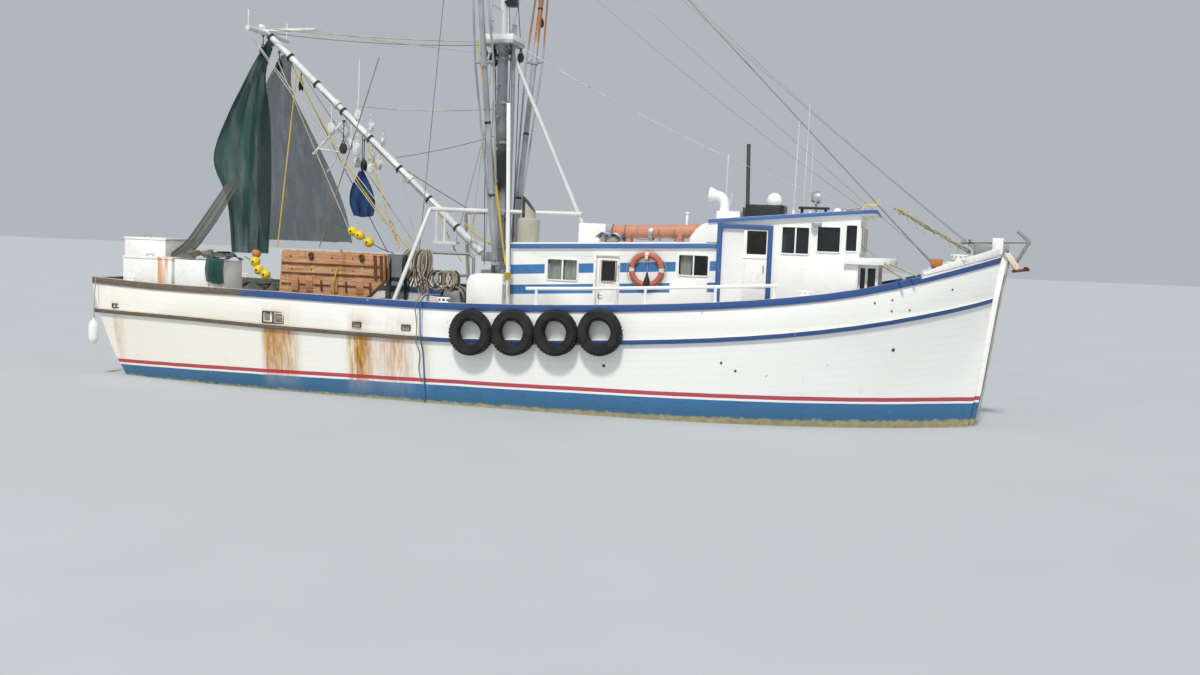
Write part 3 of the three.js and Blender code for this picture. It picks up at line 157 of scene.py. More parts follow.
class Wiring:
    """Adds and links the nodes of one tree."""

    def __init__(self, tree):
        self.tree = tree
        self.where = self.node("ShaderNodeTexCoord").outputs["Object"]

    def put(self, socket, value):
        if isinstance(value, bpy.types.NodeSocket):
            self.tree.links.new(value, socket)
        elif socket.type == "RGBA" and len(value) == 3:
            socket.default_value = (*value, 1)
        else:
            socket.default_value = value

    def node(self, kind, **values):
        node = self.tree.nodes.new(kind)
        for key, value in values.items():
            self.put(node.inputs[key.replace("_", " ")], value)
        return node

    def math(self, what, a, b=0.0, c=0.0):
        node = self.tree.nodes.new("ShaderNodeMath")
        node.operation = what
        for socket, value in zip(node.inputs, (a, b, c)):
            self.put(socket, value)
        return node.outputs[0]

    def times(self, *values):
        out = values[0]
        for value in values[1:]:
            out = self.math("MULTIPLY", out, value)
        return out

    def plus(self, *values):
        out = values[0]
        for value in values[1:]:
            out = self.math("ADD", out, value)
        return out

    def less(self, a, b):
        return self.math("SUBTRACT", a, b)

    def above(self, a, b):
        return self.math("GREATER_THAN", a, b)

    def below(self, a, b):
        return self.math("LESS_THAN", a, b)

    def size(self, value):
        return self.math("ABSOLUTE", value)

    def near(self, value, middle, reach):
        return self.math("COMPARE", value, middle, reach)

    def mix(self, share, a, b):
        node = self.tree.nodes.new("ShaderNodeMix")
        node.data_type = "RGBA"
        for index, value in ((0, share), (6, a), (7, b)):
            self.put(node.inputs[index], value)
        return node.outputs[2]

    def ramp(self, value, *stops, smooth=True):
        node = self.tree.nodes.new("ShaderNodeValToRGB")
        node.color_ramp.interpolation = "LINEAR" if smooth else "CONSTANT"
        points = node.color_ramp.elements
        while len(points) < len(stops):
            points.new(0.5)
        for point, (at, shade) in zip(points, stops):
            point.position = at
            point.color = (shade, shade, shade, 1) if isinstance(shade, (int, float)) else (*shade, 1)
        self.put(node.inputs[0], value)
        return node.outputs[0]

    def along(self, value, low, high):
        """The value's place between low and high, as 0 to 1."""
        node = self.node("ShaderNodeMapRange", Value=value)
        node.inputs["From Min"].default_value = low
        node.inputs["From Max"].default_value = high
        return node.outputs[0]

    def noise(self, scale, stretch=(1, 1, 1), detail=4, rough=0.55, where=None):
        mapped = self.node("ShaderNodeMapping", Vector=where or self.where, Scale=stretch)
        node = self.node("ShaderNodeTexNoise", Vector=mapped.outputs[0], Scale=scale, Detail=detail,
                         Roughness=rough)
        return node.outputs["Fac"]

    def axes(self):
        node = self.node("ShaderNodeSeparateXYZ", Vector=self.where)
        return node.outputs

    def group(self, name, **values):
        node = self.tree.nodes.new("ShaderNodeGroup")
        node.node_tree = bpy.data.node_groups[name]
        for key, value in values.items():
            self.put(node.inputs[key.replace("_", " ")], value)
        return node.outputs

    def runs(self, scale, amount):
        return self.group("Runs", Scale=scale, Amount=amount)["Mask"]

    def chipped(self, scale, amount):
        return self.group("Chipping", Scale=scale, Amount=amount)["Mask"]

    def stripe(self, value):
        """How far the value is from the middle of its repeat."""
        return self.size(self.less(self.math("FRACT", value), 0.5))

    def bump(self, height, strength=0.3, distance=0.01):
        node = self.node("ShaderNodeBump", Strength=strength, Distance=distance, Height=height)
        return node.outputs[0]


class Finish(Wiring):
    """A material being built: the shader's own values are set here, and what varies is linked."""

    def __init__(self, name, rough=0.5, metal=0.0, coat=0.0):
        self.material = bpy.data.materials.new(name)
        self.material.use_nodes = True
        super().__init__(self.material.node_tree)
        self.shader = self.tree.nodes["Principled BSDF"]
        self.set("Roughness", rough)
        self.set("Metallic", metal)
        self.set("Coat Weight", coat)
        made[name] = self.material

    def set(self, key, value):
        self.put(self.shader.inputs[key], value)

    def paint(self, color, height, strength, distance):
        self.set("Base Color", color)
        self.set("Normal", self.bump(height, strength, distance))


def build_groups():
    number, vector = "NodeSocketFloat", "NodeSocketVector"
    w, source, sink = new_group("Grime", [("Scale", number, 3.0), ("Stretch", vector, (1, 1, 1))],
                      [("Blotch", number), ("Speck", number)])
    mapped = w.node("ShaderNodeMapping", Vector=w.where, Scale=source["Stretch"]).outputs[0]
    broad = w.node("ShaderNodeTexNoise", Vector=mapped, Scale=source["Scale"], Detail=5.0)
    fine = w.node("ShaderNodeTexNoise", Vector=mapped, Scale=w.times(source["Scale"], 9.0), Detail=3.0)
    w.put(sink["Blotch"], w.ramp(broad.outputs["Fac"], (0.38, 0), (0.68, 1)))
    w.put(sink["Speck"], w.ramp(fine.outputs["Fac"], (0.58, 0), (0.7, 1)))

    w, source, sink = new_group("Chipping", [("Scale", number, 9.0), ("Amount", number, 0.3)],
                                [("Mask", number)])
    broad = w.node("ShaderNodeTexNoise", Vector=w.where, Scale=source["Scale"], Detail=6.0, Roughness=0.7)
    edge = w.less(0.72, w.times(source["Amount"], 0.3))
    flaked = w.times(w.math("MAXIMUM", w.less(broad.outputs["Fac"], edge), 0.0), 30.0)
    w.put(sink["Mask"], w.math("SMOOTH_MIN", 1.0, flaked, 0.1))

    w, source, sink = new_group("Runs", [("Scale", number, 4.0), ("Amount", number, 0.5)], [("Mask", number)])
    mapped = w.node("ShaderNodeMapping", Vector=w.where, Scale=(1, 1, 0.07)).outputs[0]
    runs = w.node("ShaderNodeTexNoise", Vector=mapped, Scale=source["Scale"], Detail=5.0, Roughness=0.65)
    low = w.less(0.75, w.times(source["Amount"], 0.35))
    wet = w.times(w.math("MAXIMUM", w.less(runs.outputs["Fac"], low), 0.0), 5.0)
    w.put(sink["Mask"], w.math("MINIMUM", 1.0, wet))

    w, source, sink = new_group("Grain", [("Stretch", vector, (1, 14, 14)), ("Scale", number, 3.0)],
                      [("Tone", number), ("Height", number)])
    mapped = w.node("ShaderNodeMapping", Vector=w.where, Scale=source["Stretch"]).outputs[0]
    lines = w.node("ShaderNodeTexNoise", Vector=mapped, Scale=source["Scale"], Detail=7.0, Roughness=0.62,
                   Distortion=0.4)
    w.put(sink["Tone"], w.ramp(lines.outputs["Fac"], (0.32, 0), (0.7, 1)))
    w.put(sink["Height"], lines.outputs["Fac"])

    w, source, sink = new_group("Twist", [("Turns", number, 60.0), ("Strands", number, 3.0)],
                                [("Height", number)])
    uv = w.node("ShaderNodeSeparateXYZ", Vector=w.node("ShaderNodeTexCoord").outputs["UV"]).outputs
    turn = w.plus(w.times(uv[0], source["Turns"]), w.times(uv[1], source["Strands"]))
    w.put(sink["Height"], w.size(w.math("SINE", w.times(turn, math.pi))))


def painted(name, base, rough=0.5, metal=0.0, chips=0.0, under=(0.2, 0.11, 0.06), runs=0.3, run_tone=None,
            grime=(0.36, 0.33, 0.27), dirt=0.35, bump=0.15, coat=0.0, base_of=None):
    """Paint over wood or steel: broad dirt, runs, and chips that show what is under it."""
    f = Finish(name, rough, metal, coat)
    base = base_of(f) if base_of else base
    blotch = f.group("Grime", Scale=1.6)
    tone = f.mix(f.times(blotch["Blotch"], dirt * 0.35), base, grime)
    tone = f.mix(f.times(blotch["Speck"], dirt * 0.5), tone, grime)
    if runs:
        streak = f.runs(5.0, runs)
        tone = f.mix(f.times(streak, 0.55), tone, run_tone or rgb(196, 150, 84))
    mask = f.chipped(11.0, chips)
    tone = f.mix(mask, tone, under)
    f.set("Base Color", tone)
    f.set("Roughness", f.plus(rough, f.times(blotch["Blotch"], 0.14), f.times(mask, 0.2)))
    f.set("Normal", f.bump(f.plus(f.times(mask, -0.6), f.noise(34, detail=3)), bump, 0.004))
    return f


def build_hull_paint():
    white, rust = paint_of("white"), paint_of("rust")
    wear = bpy.context.scene.trawler_wear
    f = Finish("hull_paint", 0.42)
    x, _, z = f.axes()
    wave = f.times(f.less(f.noise(1.3, detail=3), 0.5), 0.02)
    line = f.plus(0.513, f.times(x, 0.0133), f.times(x, x, -0.0005))
    over = f.plus(f.less(z, line), wave)
    sheer = f.plus(f.times(x, 0.03), f.times(x, x, 0.0052))
    seam = f.stripe(f.times(f.less(z, sheer), 6.6))
    groove = f.above(seam, 0.475)
    dirt = f.group("Grime", Scale=0.8, Stretch=(1, 1, 2))
    base = f.mix(f.times(dirt["Blotch"], 0.10), white, rgb(226, 214, 184))
    base = f.mix(f.times(groove, 0.10), base, rgb(150, 146, 138))
    aft = f.ramp(f.along(x, -11, 11), (0.0, 0.35), (0.2, 0.45), (0.32, 0.2), (0.42, 0), (1, 0))
    base = f.mix(f.times(aft, f.noise(0.9, (1, 1, 0.5)), 0.9), base, rgb(244, 226, 176))
    # Rust runs below the ports and scuppers: where along the hull, how far down, and how thick
    column = f.ramp(
        f.along(x, -11, 11),
        (0.0, 0), (0.055, 0.0), (0.06, 0.35), (0.075, 0.0), (0.248, 0), (0.254, 0.85), (0.282, 0.65), (0.296, 0),
        (0.343, 0), (0.35, 1.0), (0.362, 0.95), (0.376, 0.2), (0.39, 0.45), (0.4, 0.62), (0.412, 0.3), (0.42, 0),
        (0.43, 0.25), (0.436, 0.0), (1, 0),
    )
    depth = f.ramp(f.along(z, 0.0, 2.2), (0.0, 0.0), (0.08, 0.2), (0.2, 0.7), (0.4, 0.9), (0.62, 1.0),
                   (0.645, 0.3), (0.75, 0.25), (0.9, 0.0))
    runs = f.runs(7.0, 1.25)
    thin = f.runs(17.0, 0.9)
    streak = f.times(column, depth, f.plus(f.times(runs, 0.75), 0.18), wear.rust * 1.25)
    streak = f.math("MINIMUM", streak, 1.0)
    base = f.mix(streak, base, rust)
    base = f.mix(f.times(streak, thin, 0.75), base, rgb(120, 66, 24))
    faint = f.runs(3.0, 0.42)
    base = f.mix(f.times(faint, aft, 0.5), base, rgb(222, 186, 112))
    red = f.near(over, 0.0, 0.042)
    blue = f.below(over, -0.088)
    boot = f.mix(f.noise(2.4, (1, 1, 3)), paint_of("boot"), rgb(36, 112, 162))
    boot = f.mix(f.ramp(f.along(z, 0.0, 0.4), (0, 0.8), (1, 0)), boot, rgb(22, 88, 112))
    boot = f.mix(f.times(dirt["Speck"], 0.5), boot, rgb(20, 76, 110))
    base = f.mix(f.times(red, 0.94), base, paint_of("stripe"))
    base = f.mix(f.times(blue, f.less(0.97, f.times(streak, 0.45))), base, boot)
    # Dried scum along the water, widest at the bow
    wash = f.plus(0.035, f.times(f.ramp(f.along(x, -10, 10), (0, 0.02), (0.5, 0.35), (1, 1.0)), 0.16))
    low = f.less(wash, f.plus(z, f.times(f.less(f.noise(7, detail=5), 0.5), 0.16)))
    scum = f.math("MINIMUM", f.times(f.math("MAXIMUM", low, 0.0), 22.0), 1.0)
    base = f.mix(f.times(scum, 0.85), base, f.mix(f.noise(9), rgb(206, 192, 140), rgb(126, 116, 74)))
    under = f.below(z, -0.06)
    base = f.mix(under, base, f.mix(f.noise(3, detail=6), rgb(26, 78, 104), rgb(58, 74, 50)))
    chips = f.chipped(5.0, wear.chips * 0.4)
    base = f.mix(f.times(chips, 0.7), base, rgb(176, 160, 132))
    f.set("Base Color", base)
    f.set("Roughness", f.plus(0.36, f.times(streak, 0.3), f.times(dirt["Blotch"], 0.12), f.times(scum, 0.3)))
    height = f.plus(f.times(groove, -0.5), f.times(chips, -0.35), f.times(f.noise(1.1, (1, 1, 2), 2), 1.2))
    f.set("Normal", f.bump(height, 0.35, 0.008))


def build_deck_paint():
    f = Finish("deck_paint", 0.7)
    y = f.axes()[1]
    seam = f.stripe(f.times(y, 8.0))
    groove = f.above(seam, 0.465)
    grain = f.group("Grain", Stretch=(0.6, 12, 4), Scale=2.5)
    worn = f.ramp(f.noise(0.7, detail=6), (0.42, 0), (0.6, 1))
    base = f.mix(grain["Tone"], rgb(160, 156, 146), rgb(184, 181, 172))
    base = f.mix(f.times(worn, 0.8), base, f.mix(grain["Tone"], rgb(98, 82, 64), rgb(140, 120, 96)))
    base = f.mix(f.times(groove, 0.7), base, rgb(40, 36, 32))
    f.paint(base, f.plus(f.times(groove, -1.0), f.times(grain["Height"], 0.5)), 0.5, 0.006)


def build_rail_paint():
    """Blue rails with a pale top, bare and brown towards the stern: the rub rail is worn further forward."""
    for name, turn in (("rail_paint", -5.2), ("rub_paint", -1.5)):
        f = Finish(name, 0.5)
        x, _, z = f.axes()
        grain = f.group("Grain", Stretch=(0.8, 16, 16), Scale=4.0)
        bare = f.mix(grain["Tone"], rgb(74, 66, 60), rgb(132, 118, 102))
        trim = f.mix(f.noise(2.0, (0.5, 1, 1)), paint_of("trim"), rgb(40, 70, 128))
        patch = f.less(f.noise(1.6, (0.35, 1, 1), 5), 0.5)
        weather = f.ramp(f.plus(f.along(x, turn + 1.6, turn - 1.6), f.times(patch, 1.6)), (0.4, 0), (0.6, 1))
        base = f.mix(weather, trim, bare)
        spot = f.chipped(6.0, 0.22)
        base = f.mix(f.times(spot, 0.7), base, rgb(186, 182, 172))
        normal = f.node("ShaderNodeSeparateXYZ", Vector=f.node("ShaderNodeNewGeometry").outputs["Normal"])
        top = f.above(normal.outputs[2], 0.6)
        worn = f.mix(grain["Tone"], rgb(158, 148, 130), rgb(204, 196, 180))
        strip = f.times(f.above(f.less(z, f.times(x, 0.31)), 0.452),
                        f.above(x, 8.4))
        top = f.math("MAXIMUM", top, strip)
        base = f.mix(top, base, f.mix(f.times(weather, 0.7), rgb(232, 230, 220), worn))
        f.set("Base Color", base)
        f.set("Roughness", f.plus(0.45, f.times(weather, 0.3)))
        f.set("Normal", f.bump(f.plus(grain["Height"], f.times(spot, -0.5)), 0.35, 0.006))


def build_house_paint():
    """White walls with two blue bands that stop short of the windows, the door and the bare patch."""
    f = Finish("house_paint", 0.46)
    x, y, z = f.axes()
    base = f.mix(f.times(f.group("Grime", Scale=1.2)["Blotch"], 0.08), paint_of("white"), rgb(206, 200, 186))
    low = f.plus(2.79, f.times(x, 0.058))
    upper = f.near(z, f.plus(low, 0.1), 0.1)
    lower = f.near(z, f.plus(f.times(x, 0.056), 2.46), 0.1)

    def within(*spans):
        marks = [f.near(x, (first + last) / 2, (last - first) / 2) for first, last in spans]
        return f.math("MINIMUM", f.plus(*marks), 1.0)

    upper = f.times(upper, within((-0.3, 0.655), (1.41, 1.745), (2.31, 3.49), (4.2, 4.36)))
    lower = f.times(lower, within((-0.3, 1.745), (2.31, 3.38), (4.16, 4.36)))
    blue = f.mix(f.noise(3, detail=3), paint_of("band"), rgb(66, 124, 182))
    fore = f.near(x, 1.9, 2.47)
    out = f.above(f.size(y), HOUSE_Y - 0.02)
    base = f.mix(f.times(f.math("MINIMUM", f.plus(upper, lower), 1.0), fore, out), base, blue)
    streak = f.runs(6.0, 0.3)
    base = f.mix(f.times(streak, 0.35), base, rgb(196, 168, 122))
    chips = f.chipped(9.0, 0.12)
    base = f.mix(chips, base, rgb(150, 140, 124))
    f.paint(base, f.plus(f.noise(1.7, detail=2), f.times(chips, -0.3)), 0.3, 0.01)


def build_roof_paint():
    """White roof tops over a blue fascia edge."""
    f = Finish("roof_paint", 0.5)
    normal = f.node("ShaderNodeNewGeometry").outputs["Normal"]
    up = f.node("ShaderNodeSeparateXYZ", Vector=normal).outputs[2]
    flat = f.above(f.size(up), 0.5)
    grime = f.group("Grime", Scale=1.4)
    white = f.mix(f.times(grime["Blotch"], 0.3), paint_of("white"), rgb(190, 180, 160))
    blue = f.mix(f.noise(2.2, (0.4, 1, 1), 5), rgb(52, 96, 164), rgb(84, 122, 176))
    blue = f.mix(f.chipped(7.0, 0.15), blue, rgb(206, 202, 192))
    f.paint(f.mix(flat, blue, white), f.noise(5, detail=4), 0.2, 0.006)


def build_metals():
    white = paint_of("white")
    painted("white_pipe", rgb(222, 223, 220), 0.45, chips=0.25, under=rgb(150, 104, 70), runs=0.35, dirt=0.6)
    painted("spar_white", rgb(230, 231, 230), 0.4, chips=0.2, under=rgb(104, 94, 88), runs=0.3, dirt=0.9,
            grime=rgb(120, 118, 116))
    painted("rail_white", white, 0.42, chips=0.1, under=rgb(150, 100, 60), runs=0.2, dirt=0.3)
    painted("plain_white", white, 0.45, chips=0.08, under=rgb(170, 160, 144), runs=0.25, dirt=0.3)
    painted("chest_white", white, 0.45, chips=0.1, under=rgb(170, 160, 144), runs=0.25, dirt=0.4,
            base_of=lambda f: f.mix(f.times(f.near(f.axes()[0], -8.49, 0.14), f.runs(9.0, 1.2), 0.9),
                                    white, rgb(222, 150, 84)))
    painted("trim_blue", paint_of("trim"), 0.45, chips=0.18, under=rgb(200, 198, 190), runs=0.0, dirt=0.4,
            grime=rgb(40, 58, 92))
    painted("grey_metal", rgb(156, 160, 163), 0.5, metal=0.5, chips=0.25, under=rgb(106, 88, 76), runs=0.3,
            dirt=0.8)
    painted("galvanised", rgb(176, 178, 178), 0.42, metal=0.75, chips=0.2, under=rgb(120, 92, 70), runs=0.3,
            dirt=0.6)
    painted("rusty_iron", rgb(112, 70, 48), 0.85, metal=0.25, chips=0.55, under=rgb(64, 42, 32), runs=0.8,
            run_tone=rgb(168, 96, 44), dirt=0.9, grime=rgb(60, 44, 36), bump=0.5)
    painted("black_iron", rgb(34, 34, 38), 0.6, metal=0.3, chips=0.25, under=rgb(92, 60, 42), runs=0.3, dirt=0.6)
    painted("bronze", rgb(170, 126, 62), 0.35, metal=0.95, chips=0.2, under=rgb(70, 92, 74), runs=0.3, dirt=0.8)
    painted("wire_rope", rgb(150, 150, 146), 0.45, metal=0.7, chips=0.3, under=rgb(110, 80, 56), runs=0.0,
            dirt=0.8)
    painted("black_plastic", rgb(20, 21, 24), 0.38, chips=0.0, runs=0.2, run_tone=rgb(90, 90, 92), dirt=0.5,
            grime=rgb(80, 80, 80))
    painted("dome_white", rgb(246, 246, 244), 0.25, chips=0.0, runs=0.2, dirt=0.25, coat=0.3)
    painted("stack_grey", rgb(176, 174, 158), 0.8, chips=0.2, under=rgb(128, 120, 102), runs=0.5,
            run_tone=rgb(128, 120, 98), dirt=1.0, bump=0.4)
    painted("soot", rgb(24, 22, 22), 0.9, chips=0.2, under=rgb(80, 74, 70), runs=0.4, dirt=0.8)
    painted("stained_white", rgb(236, 226, 210), 0.6, chips=0.3, under=rgb(214, 150, 92), runs=0.9,
            run_tone=rgb(222, 162, 104), dirt=0.5)
    painted("orange_rust", rgb(196, 122, 52), 0.7, chips=0.4, under=rgb(150, 84, 40), runs=0.6, dirt=0.6)

    # Outriggers: dull grey pipe, and to port the upper half has gone to rust
    f = Finish("outrigger_paint", 0.55)
    _, y, z = f.axes()
    patch = f.noise(2.2, (1, 1, 0.3), 5)
    pale = f.mix(f.ramp(patch, (0.38, 0), (0.62, 1)), rgb(182, 185, 188), rgb(144, 147, 152))
    high = f.ramp(f.plus(f.along(z, 7.0, 9.6), f.times(f.less(patch, 0.5), 0.5)), (0.42, 0), (0.56, 1))
    rust = f.mix(patch, rgb(192, 138, 96), rgb(140, 82, 50))
    base = f.mix(f.times(high, f.above(y, 0.0)), pale, rust)
    base = f.mix(f.chipped(9.0, 0.25), base, rgb(128, 96, 76))
    f.paint(base, f.noise(22), 0.2, 0.004)

    f = Finish("mast_paint", 0.55)
    z = f.axes()[2]
    patch = f.noise(1.4, (1, 1, 0.4), 6)
    pale = f.mix(f.ramp(patch, (0.4, 0), (0.6, 1)), rgb(208, 210, 212), rgb(142, 146, 152))
    height = f.plus(z, f.times(f.less(patch, 0.5), 1.2))
    soot = f.ramp(f.along(height, 3.4, 7.6), (0.0, 0), (0.2, 0.1), (0.3, 0.95), (0.5, 0.92), (0.64, 0.3),
                  (0.85, 0.0))
    low = f.ramp(f.along(z, 2.0, 4.4), (0.0, 1), (1.0, 0))
    base = f.mix(f.times(low, 0.8), pale, rgb(112, 116, 124))
    base = f.mix(f.times(f.above(z, 8.0), 0.9), base, rgb(236, 236, 232))
    base = f.mix(soot, base, rgb(22, 20, 22))
    base = f.mix(f.chipped(8.0, 0.22), base, rgb(116, 96, 80))
    f.paint(base, f.noise(22), 0.2, 0.004)


def build_woods():
    for name, dark, light, bump in (
        ("worn_timber", rgb(96, 84, 70), rgb(176, 160, 134), 0.5),
        ("brown_timber", rgb(74, 44, 30), rgb(140, 92, 60), 0.5),
        ("board_timber", rgb(138, 84, 50), rgb(216, 166, 120), 0.7),
    ):
        f = Finish(name, 0.75)
        grain = f.group("Grain", Stretch=(0.7, 9, 9), Scale=3.4)
        grime = f.group("Grime", Scale=2.0)
        base = f.mix(grain["Tone"], dark, light)
        base = f.mix(f.times(grime["Blotch"], 0.35), base, rgb(206, 168, 132))
        base = f.mix(f.times(f.runs(7.0, 0.5), 0.6), base, rgb(104, 54, 30))
        f.paint(base, grain["Height"], bump, 0.008)


def build_soft():
    for name, tone, dark, rough in (
        ("rope_white", rgb(206, 202, 184), rgb(120, 112, 92), 0.85),
        ("rope_yellow", rgb(222, 190, 44), rgb(150, 126, 34), 0.7),
        ("rope_brown", rgb(158, 142, 112), rgb(84, 72, 54), 0.9),
        ("rope_blue", rgb(64, 124, 176), rgb(34, 72, 110), 0.8),
        ("rope_green", rgb(24, 118, 96), rgb(12, 64, 56), 0.8),
        ("rope_dark", rgb(70, 64, 56), rgb(30, 28, 26), 0.9),
    ):
        f = Finish(name, rough)
        lay = f.group("Twist", Turns=220.0, Strands=3.0)["Height"]
        fade = f.group("Grime", Scale=3.0)["Blotch"]
        f.paint(f.mix(f.plus(f.times(lay, 0.35), f.times(fade, 0.4)), tone, dark), lay, 0.5, 0.004)
    for name, tone, light, thread, gap, solid in (
        ("net_green", rgb(10, 42, 40), rgb(28, 86, 76), 0.34, 26.0, 0.95),
        ("net_dark", rgb(14, 28, 30), rgb(38, 58, 56), 0.34, 24.0, 0.55),
        ("net_grey", rgb(62, 66, 60), rgb(118, 120, 108), 0.34, 24.0, 0.8),
    ):
        f = Finish(name, 0.85)
        uv = f.node("ShaderNodeSeparateXYZ", Vector=f.node("ShaderNodeTexCoord").outputs["UV"]).outputs
        across, down = f.times(uv[0], gap), f.times(uv[1], gap)
        one = f.stripe(f.plus(across, down))
        two = f.stripe(f.less(across, down))
        mesh = f.above(f.math("MAXIMUM", one, two), 0.5 - thread * 0.5)
        # Fold noise: denser mesh on the bunched folds, and the colour made lighter there and darker between them,
        # painted light and shade of the folds
        fold = f.noise(1.8, (2, 2, 0.4), 4)
        thick = f.ramp(fold, (0.3, 0.55), (0.55, 1.0))
        f.set("Base Color", f.mix(fold, tone, light))
        f.set("Alpha", f.math("MAXIMUM", f.times(mesh, 0.97), f.times(thick, solid)))
        f.set("Normal", f.bump(mesh, 0.4, 0.004))

    f = Finish("float_yellow", 0.45)
    grime = f.group("Grime", Scale=7.0)
    f.paint(f.mix(f.times(grime["Blotch"], 0.5), paint_of("yellow"), rgb(190, 150, 40)), f.noise(30), 0.2, 0.003)

    f = Finish("float_skin", 0.6)
    shade = f.noise(2.4, (0.6, 2, 2), 5)
    base = f.mix(shade, paint_of("float_skin"), rgb(188, 120, 94))
    base = f.mix(f.times(f.runs(8.0, 0.6), 0.5), base, rgb(150, 90, 66))
    f.paint(base, f.noise(12, detail=5), 0.3, 0.006)

    f = Finish("tyre", 0.82)
    grime = f.group("Grime", Scale=4.0)
    base = f.mix(f.times(grime["Blotch"], 0.45), rgb(18, 18, 19), rgb(58, 56, 52))
    f.paint(base, f.noise(60, detail=2), 0.2, 0.003)

    f = Finish("ring_cover", 0.55)
    x, _, z = f.axes()
    turn = f.math("ARCTAN2", f.less(z, 3.0), f.less(x, 2.89))
    quarter = f.stripe(f.plus(f.times(turn, 2 / math.pi), 0.5))
    band = f.below(quarter, 0.075)
    skin = f.mix(f.noise(9, detail=4), paint_of("ring"), rgb(178, 90, 72))
    f.paint(f.mix(band, skin, f.mix(f.noise(12), rgb(240, 238, 230), rgb(196, 186, 170))), f.noise(40), 0.25, 0.003)

    f = Finish("curtain", 0.9)
    # The fold noise darkens the cloth as well as raising its bump: painted shade on the curtain's folds
    fold = f.noise(4.0, (7, 7, 0.5), 3)
    f.paint(f.mix(fold, rgb(214, 214, 206), rgb(150, 152, 146)), fold, 0.5, 0.01)

    f = Finish("blue_cloth", 0.9)
    f.paint(f.mix(f.noise(4, (1, 1, 0.4), 4), rgb(14, 34, 76), rgb(46, 84, 132)), f.noise(9), 0.5, 0.01)

    f = Finish("old_cloth", 0.9)
    f.set("Base Color", f.mix(f.ramp(f.noise(5, detail=2), (0.45, 0), (0.55, 1)), rgb(220, 220, 216),
                              rgb(88, 128, 180)))
    f.set("Normal", f.bump(f.noise(9), 0.5, 0.01))

    f = Finish("glass", 0.06)
    f.set("Transmission Weight", 1.0)
    f.set("Alpha", 0.4)
    f.set("IOR", 1.45)
    f.set("Base Color", f.mix(f.group("Grime", Scale=3.0)["Blotch"], rgb(206, 212, 212), rgb(170, 176, 174)))
    f.set("Roughness", f.plus(0.05, f.times(f.noise(5), 0.12)))

    # Nearly opaque dark pane: painted shade of the unlit wheelhouse seen through the side windows
    f = Finish("tinted_glass", 0.06, coat=0.4)
    f.set("Alpha", 0.78)
    f.set("Base Color", f.mix(f.noise(2), rgb(16, 20, 22), rgb(44, 50, 52)))

    # Opaque dark pane: painted shade of the unlit rooms behind the door and fore cabin windows
    f = Finish("dark_glass", 0.1)
    f.set("Base Color", f.mix(f.noise(2), rgb(14, 16, 20), rgb(34, 38, 42)))

    f = Finish("lamp_lens", 0.12)
    f.set("Base Color", f.mix(f.noise(20), rgb(210, 220, 226), rgb(150, 164, 174)))


def build_stage_finish():
    f = Finish("studio_floor", 0.85)
    f.set("Base Color", f.mix(f.noise(0.4, detail=2), rgb(184, 188, 190), rgb(192, 196, 198)))


# Modelling

def deselect():
    bpy.ops.object.select_all(action="DESELECT")


def pick(obj):
    deselect()
    obj.select_set(True)
    bpy.context.view_layer.objects.active = obj


def edit(obj):
    """Opens the piece in edit mode with all of it selected."""
    pick(obj)
    bpy.ops.object.mode_set(mode="EDIT")
    select_all()


def select_all():
    bpy.ops.mesh.select_all(action="SELECT")


def leave():
    bpy.ops.object.mode_set(mode="OBJECT")


def pull(x, y, z):
    bpy.ops.mesh.extrude_region_move(TRANSFORM_OT_translate={"value": (x, y, z)})


def face_out():
    select_all()
    bpy.ops.mesh.normals_make_consistent(inside=False)
    leave()


def linked(name, data):
    obj = bpy.data.objects.new(name, data)
    bpy.context.scene.collection.objects.link(obj)
    return obj


def apply_modifier(obj, kind, **settings):
    pick(obj)
    modifier = obj.modifiers.new(kind.title(), kind)
    for key, value in settings.items():
        setattr(modifier, key, value)
    bpy.ops.object.modifier_apply(modifier=modifier.name)


def ease(obj, width):
    if width:
        apply_modifier(obj, "BEVEL", width=width, segments=2, limit_method="ANGLE",
                       angle_limit=math.radians(40), use_clamp_overlap=True)


def settle(obj, finish, body="hull", angle=35):
    """Puts a finished piece at rest on its body: smooth shading, finish and ride."""
    pick(obj)
    bpy.ops.object.transform_apply(location=True, rotation=True, scale=True)
    bpy.ops.object.shade_smooth_by_angle(angle=math.radians(angle))
    obj.data.materials.append(made[finish])
    if body:
        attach(obj, body)
    return obj


def fitted(node, finish, bevel=0.0, angle=32):
    """A finished copy of a CAD node: corners merged, flat faces made whole, edges eased."""
    source = frame["nodes"][node]
    obj = source.copy()
    obj.data = source.data.copy()
    for key in list(obj.keys()):
        del obj[key]
    obj.name = node + "_finished"
    bpy.context.scene.collection.objects.link(obj)
    obj.parent = None
    pick(obj)
    if obj.data.has_custom_normals:
        bpy.ops.mesh.customdata_custom_splitnormals_clear()
    edit(obj)
    bpy.ops.mesh.remove_doubles(threshold=0.0005)
    bpy.ops.mesh.dissolve_limited(angle_limit=math.radians(0.6))
    leave()
    ease(obj, bevel)
    obj.data.materials.clear()
    settle(obj, finish, source["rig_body"], angle)
    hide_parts(node)
    return obj


def repaint(obj, finish, wanted):
    """Gives another finish to the faces that wanted picks by their centre and normal."""
    obj.data.materials.append(made[finish])
    for face in obj.data.polygons:
        if wanted(face.center, face.normal):
            face.material_index = len(obj.data.materials) - 1


def blank(name):
    """An empty mesh in edit mode, which primitives are then added to and shaped in."""
    obj = linked(name, bpy.data.meshes.new(name))
    edit(obj)
    return obj


def add_block(middle, size, turn=(0, 0, 0)):
    bpy.ops.mesh.primitive_cube_add(size=1, location=middle, rotation=turn, scale=size)


def add_bar(a, b, wide, high):
    """A squared bar from a to b."""
    a, b = Vector(a), Vector(b)
    way = b - a
    add_block((a + b) / 2, (way.length, wide, high), way.to_track_quat("X", "Z").to_euler())


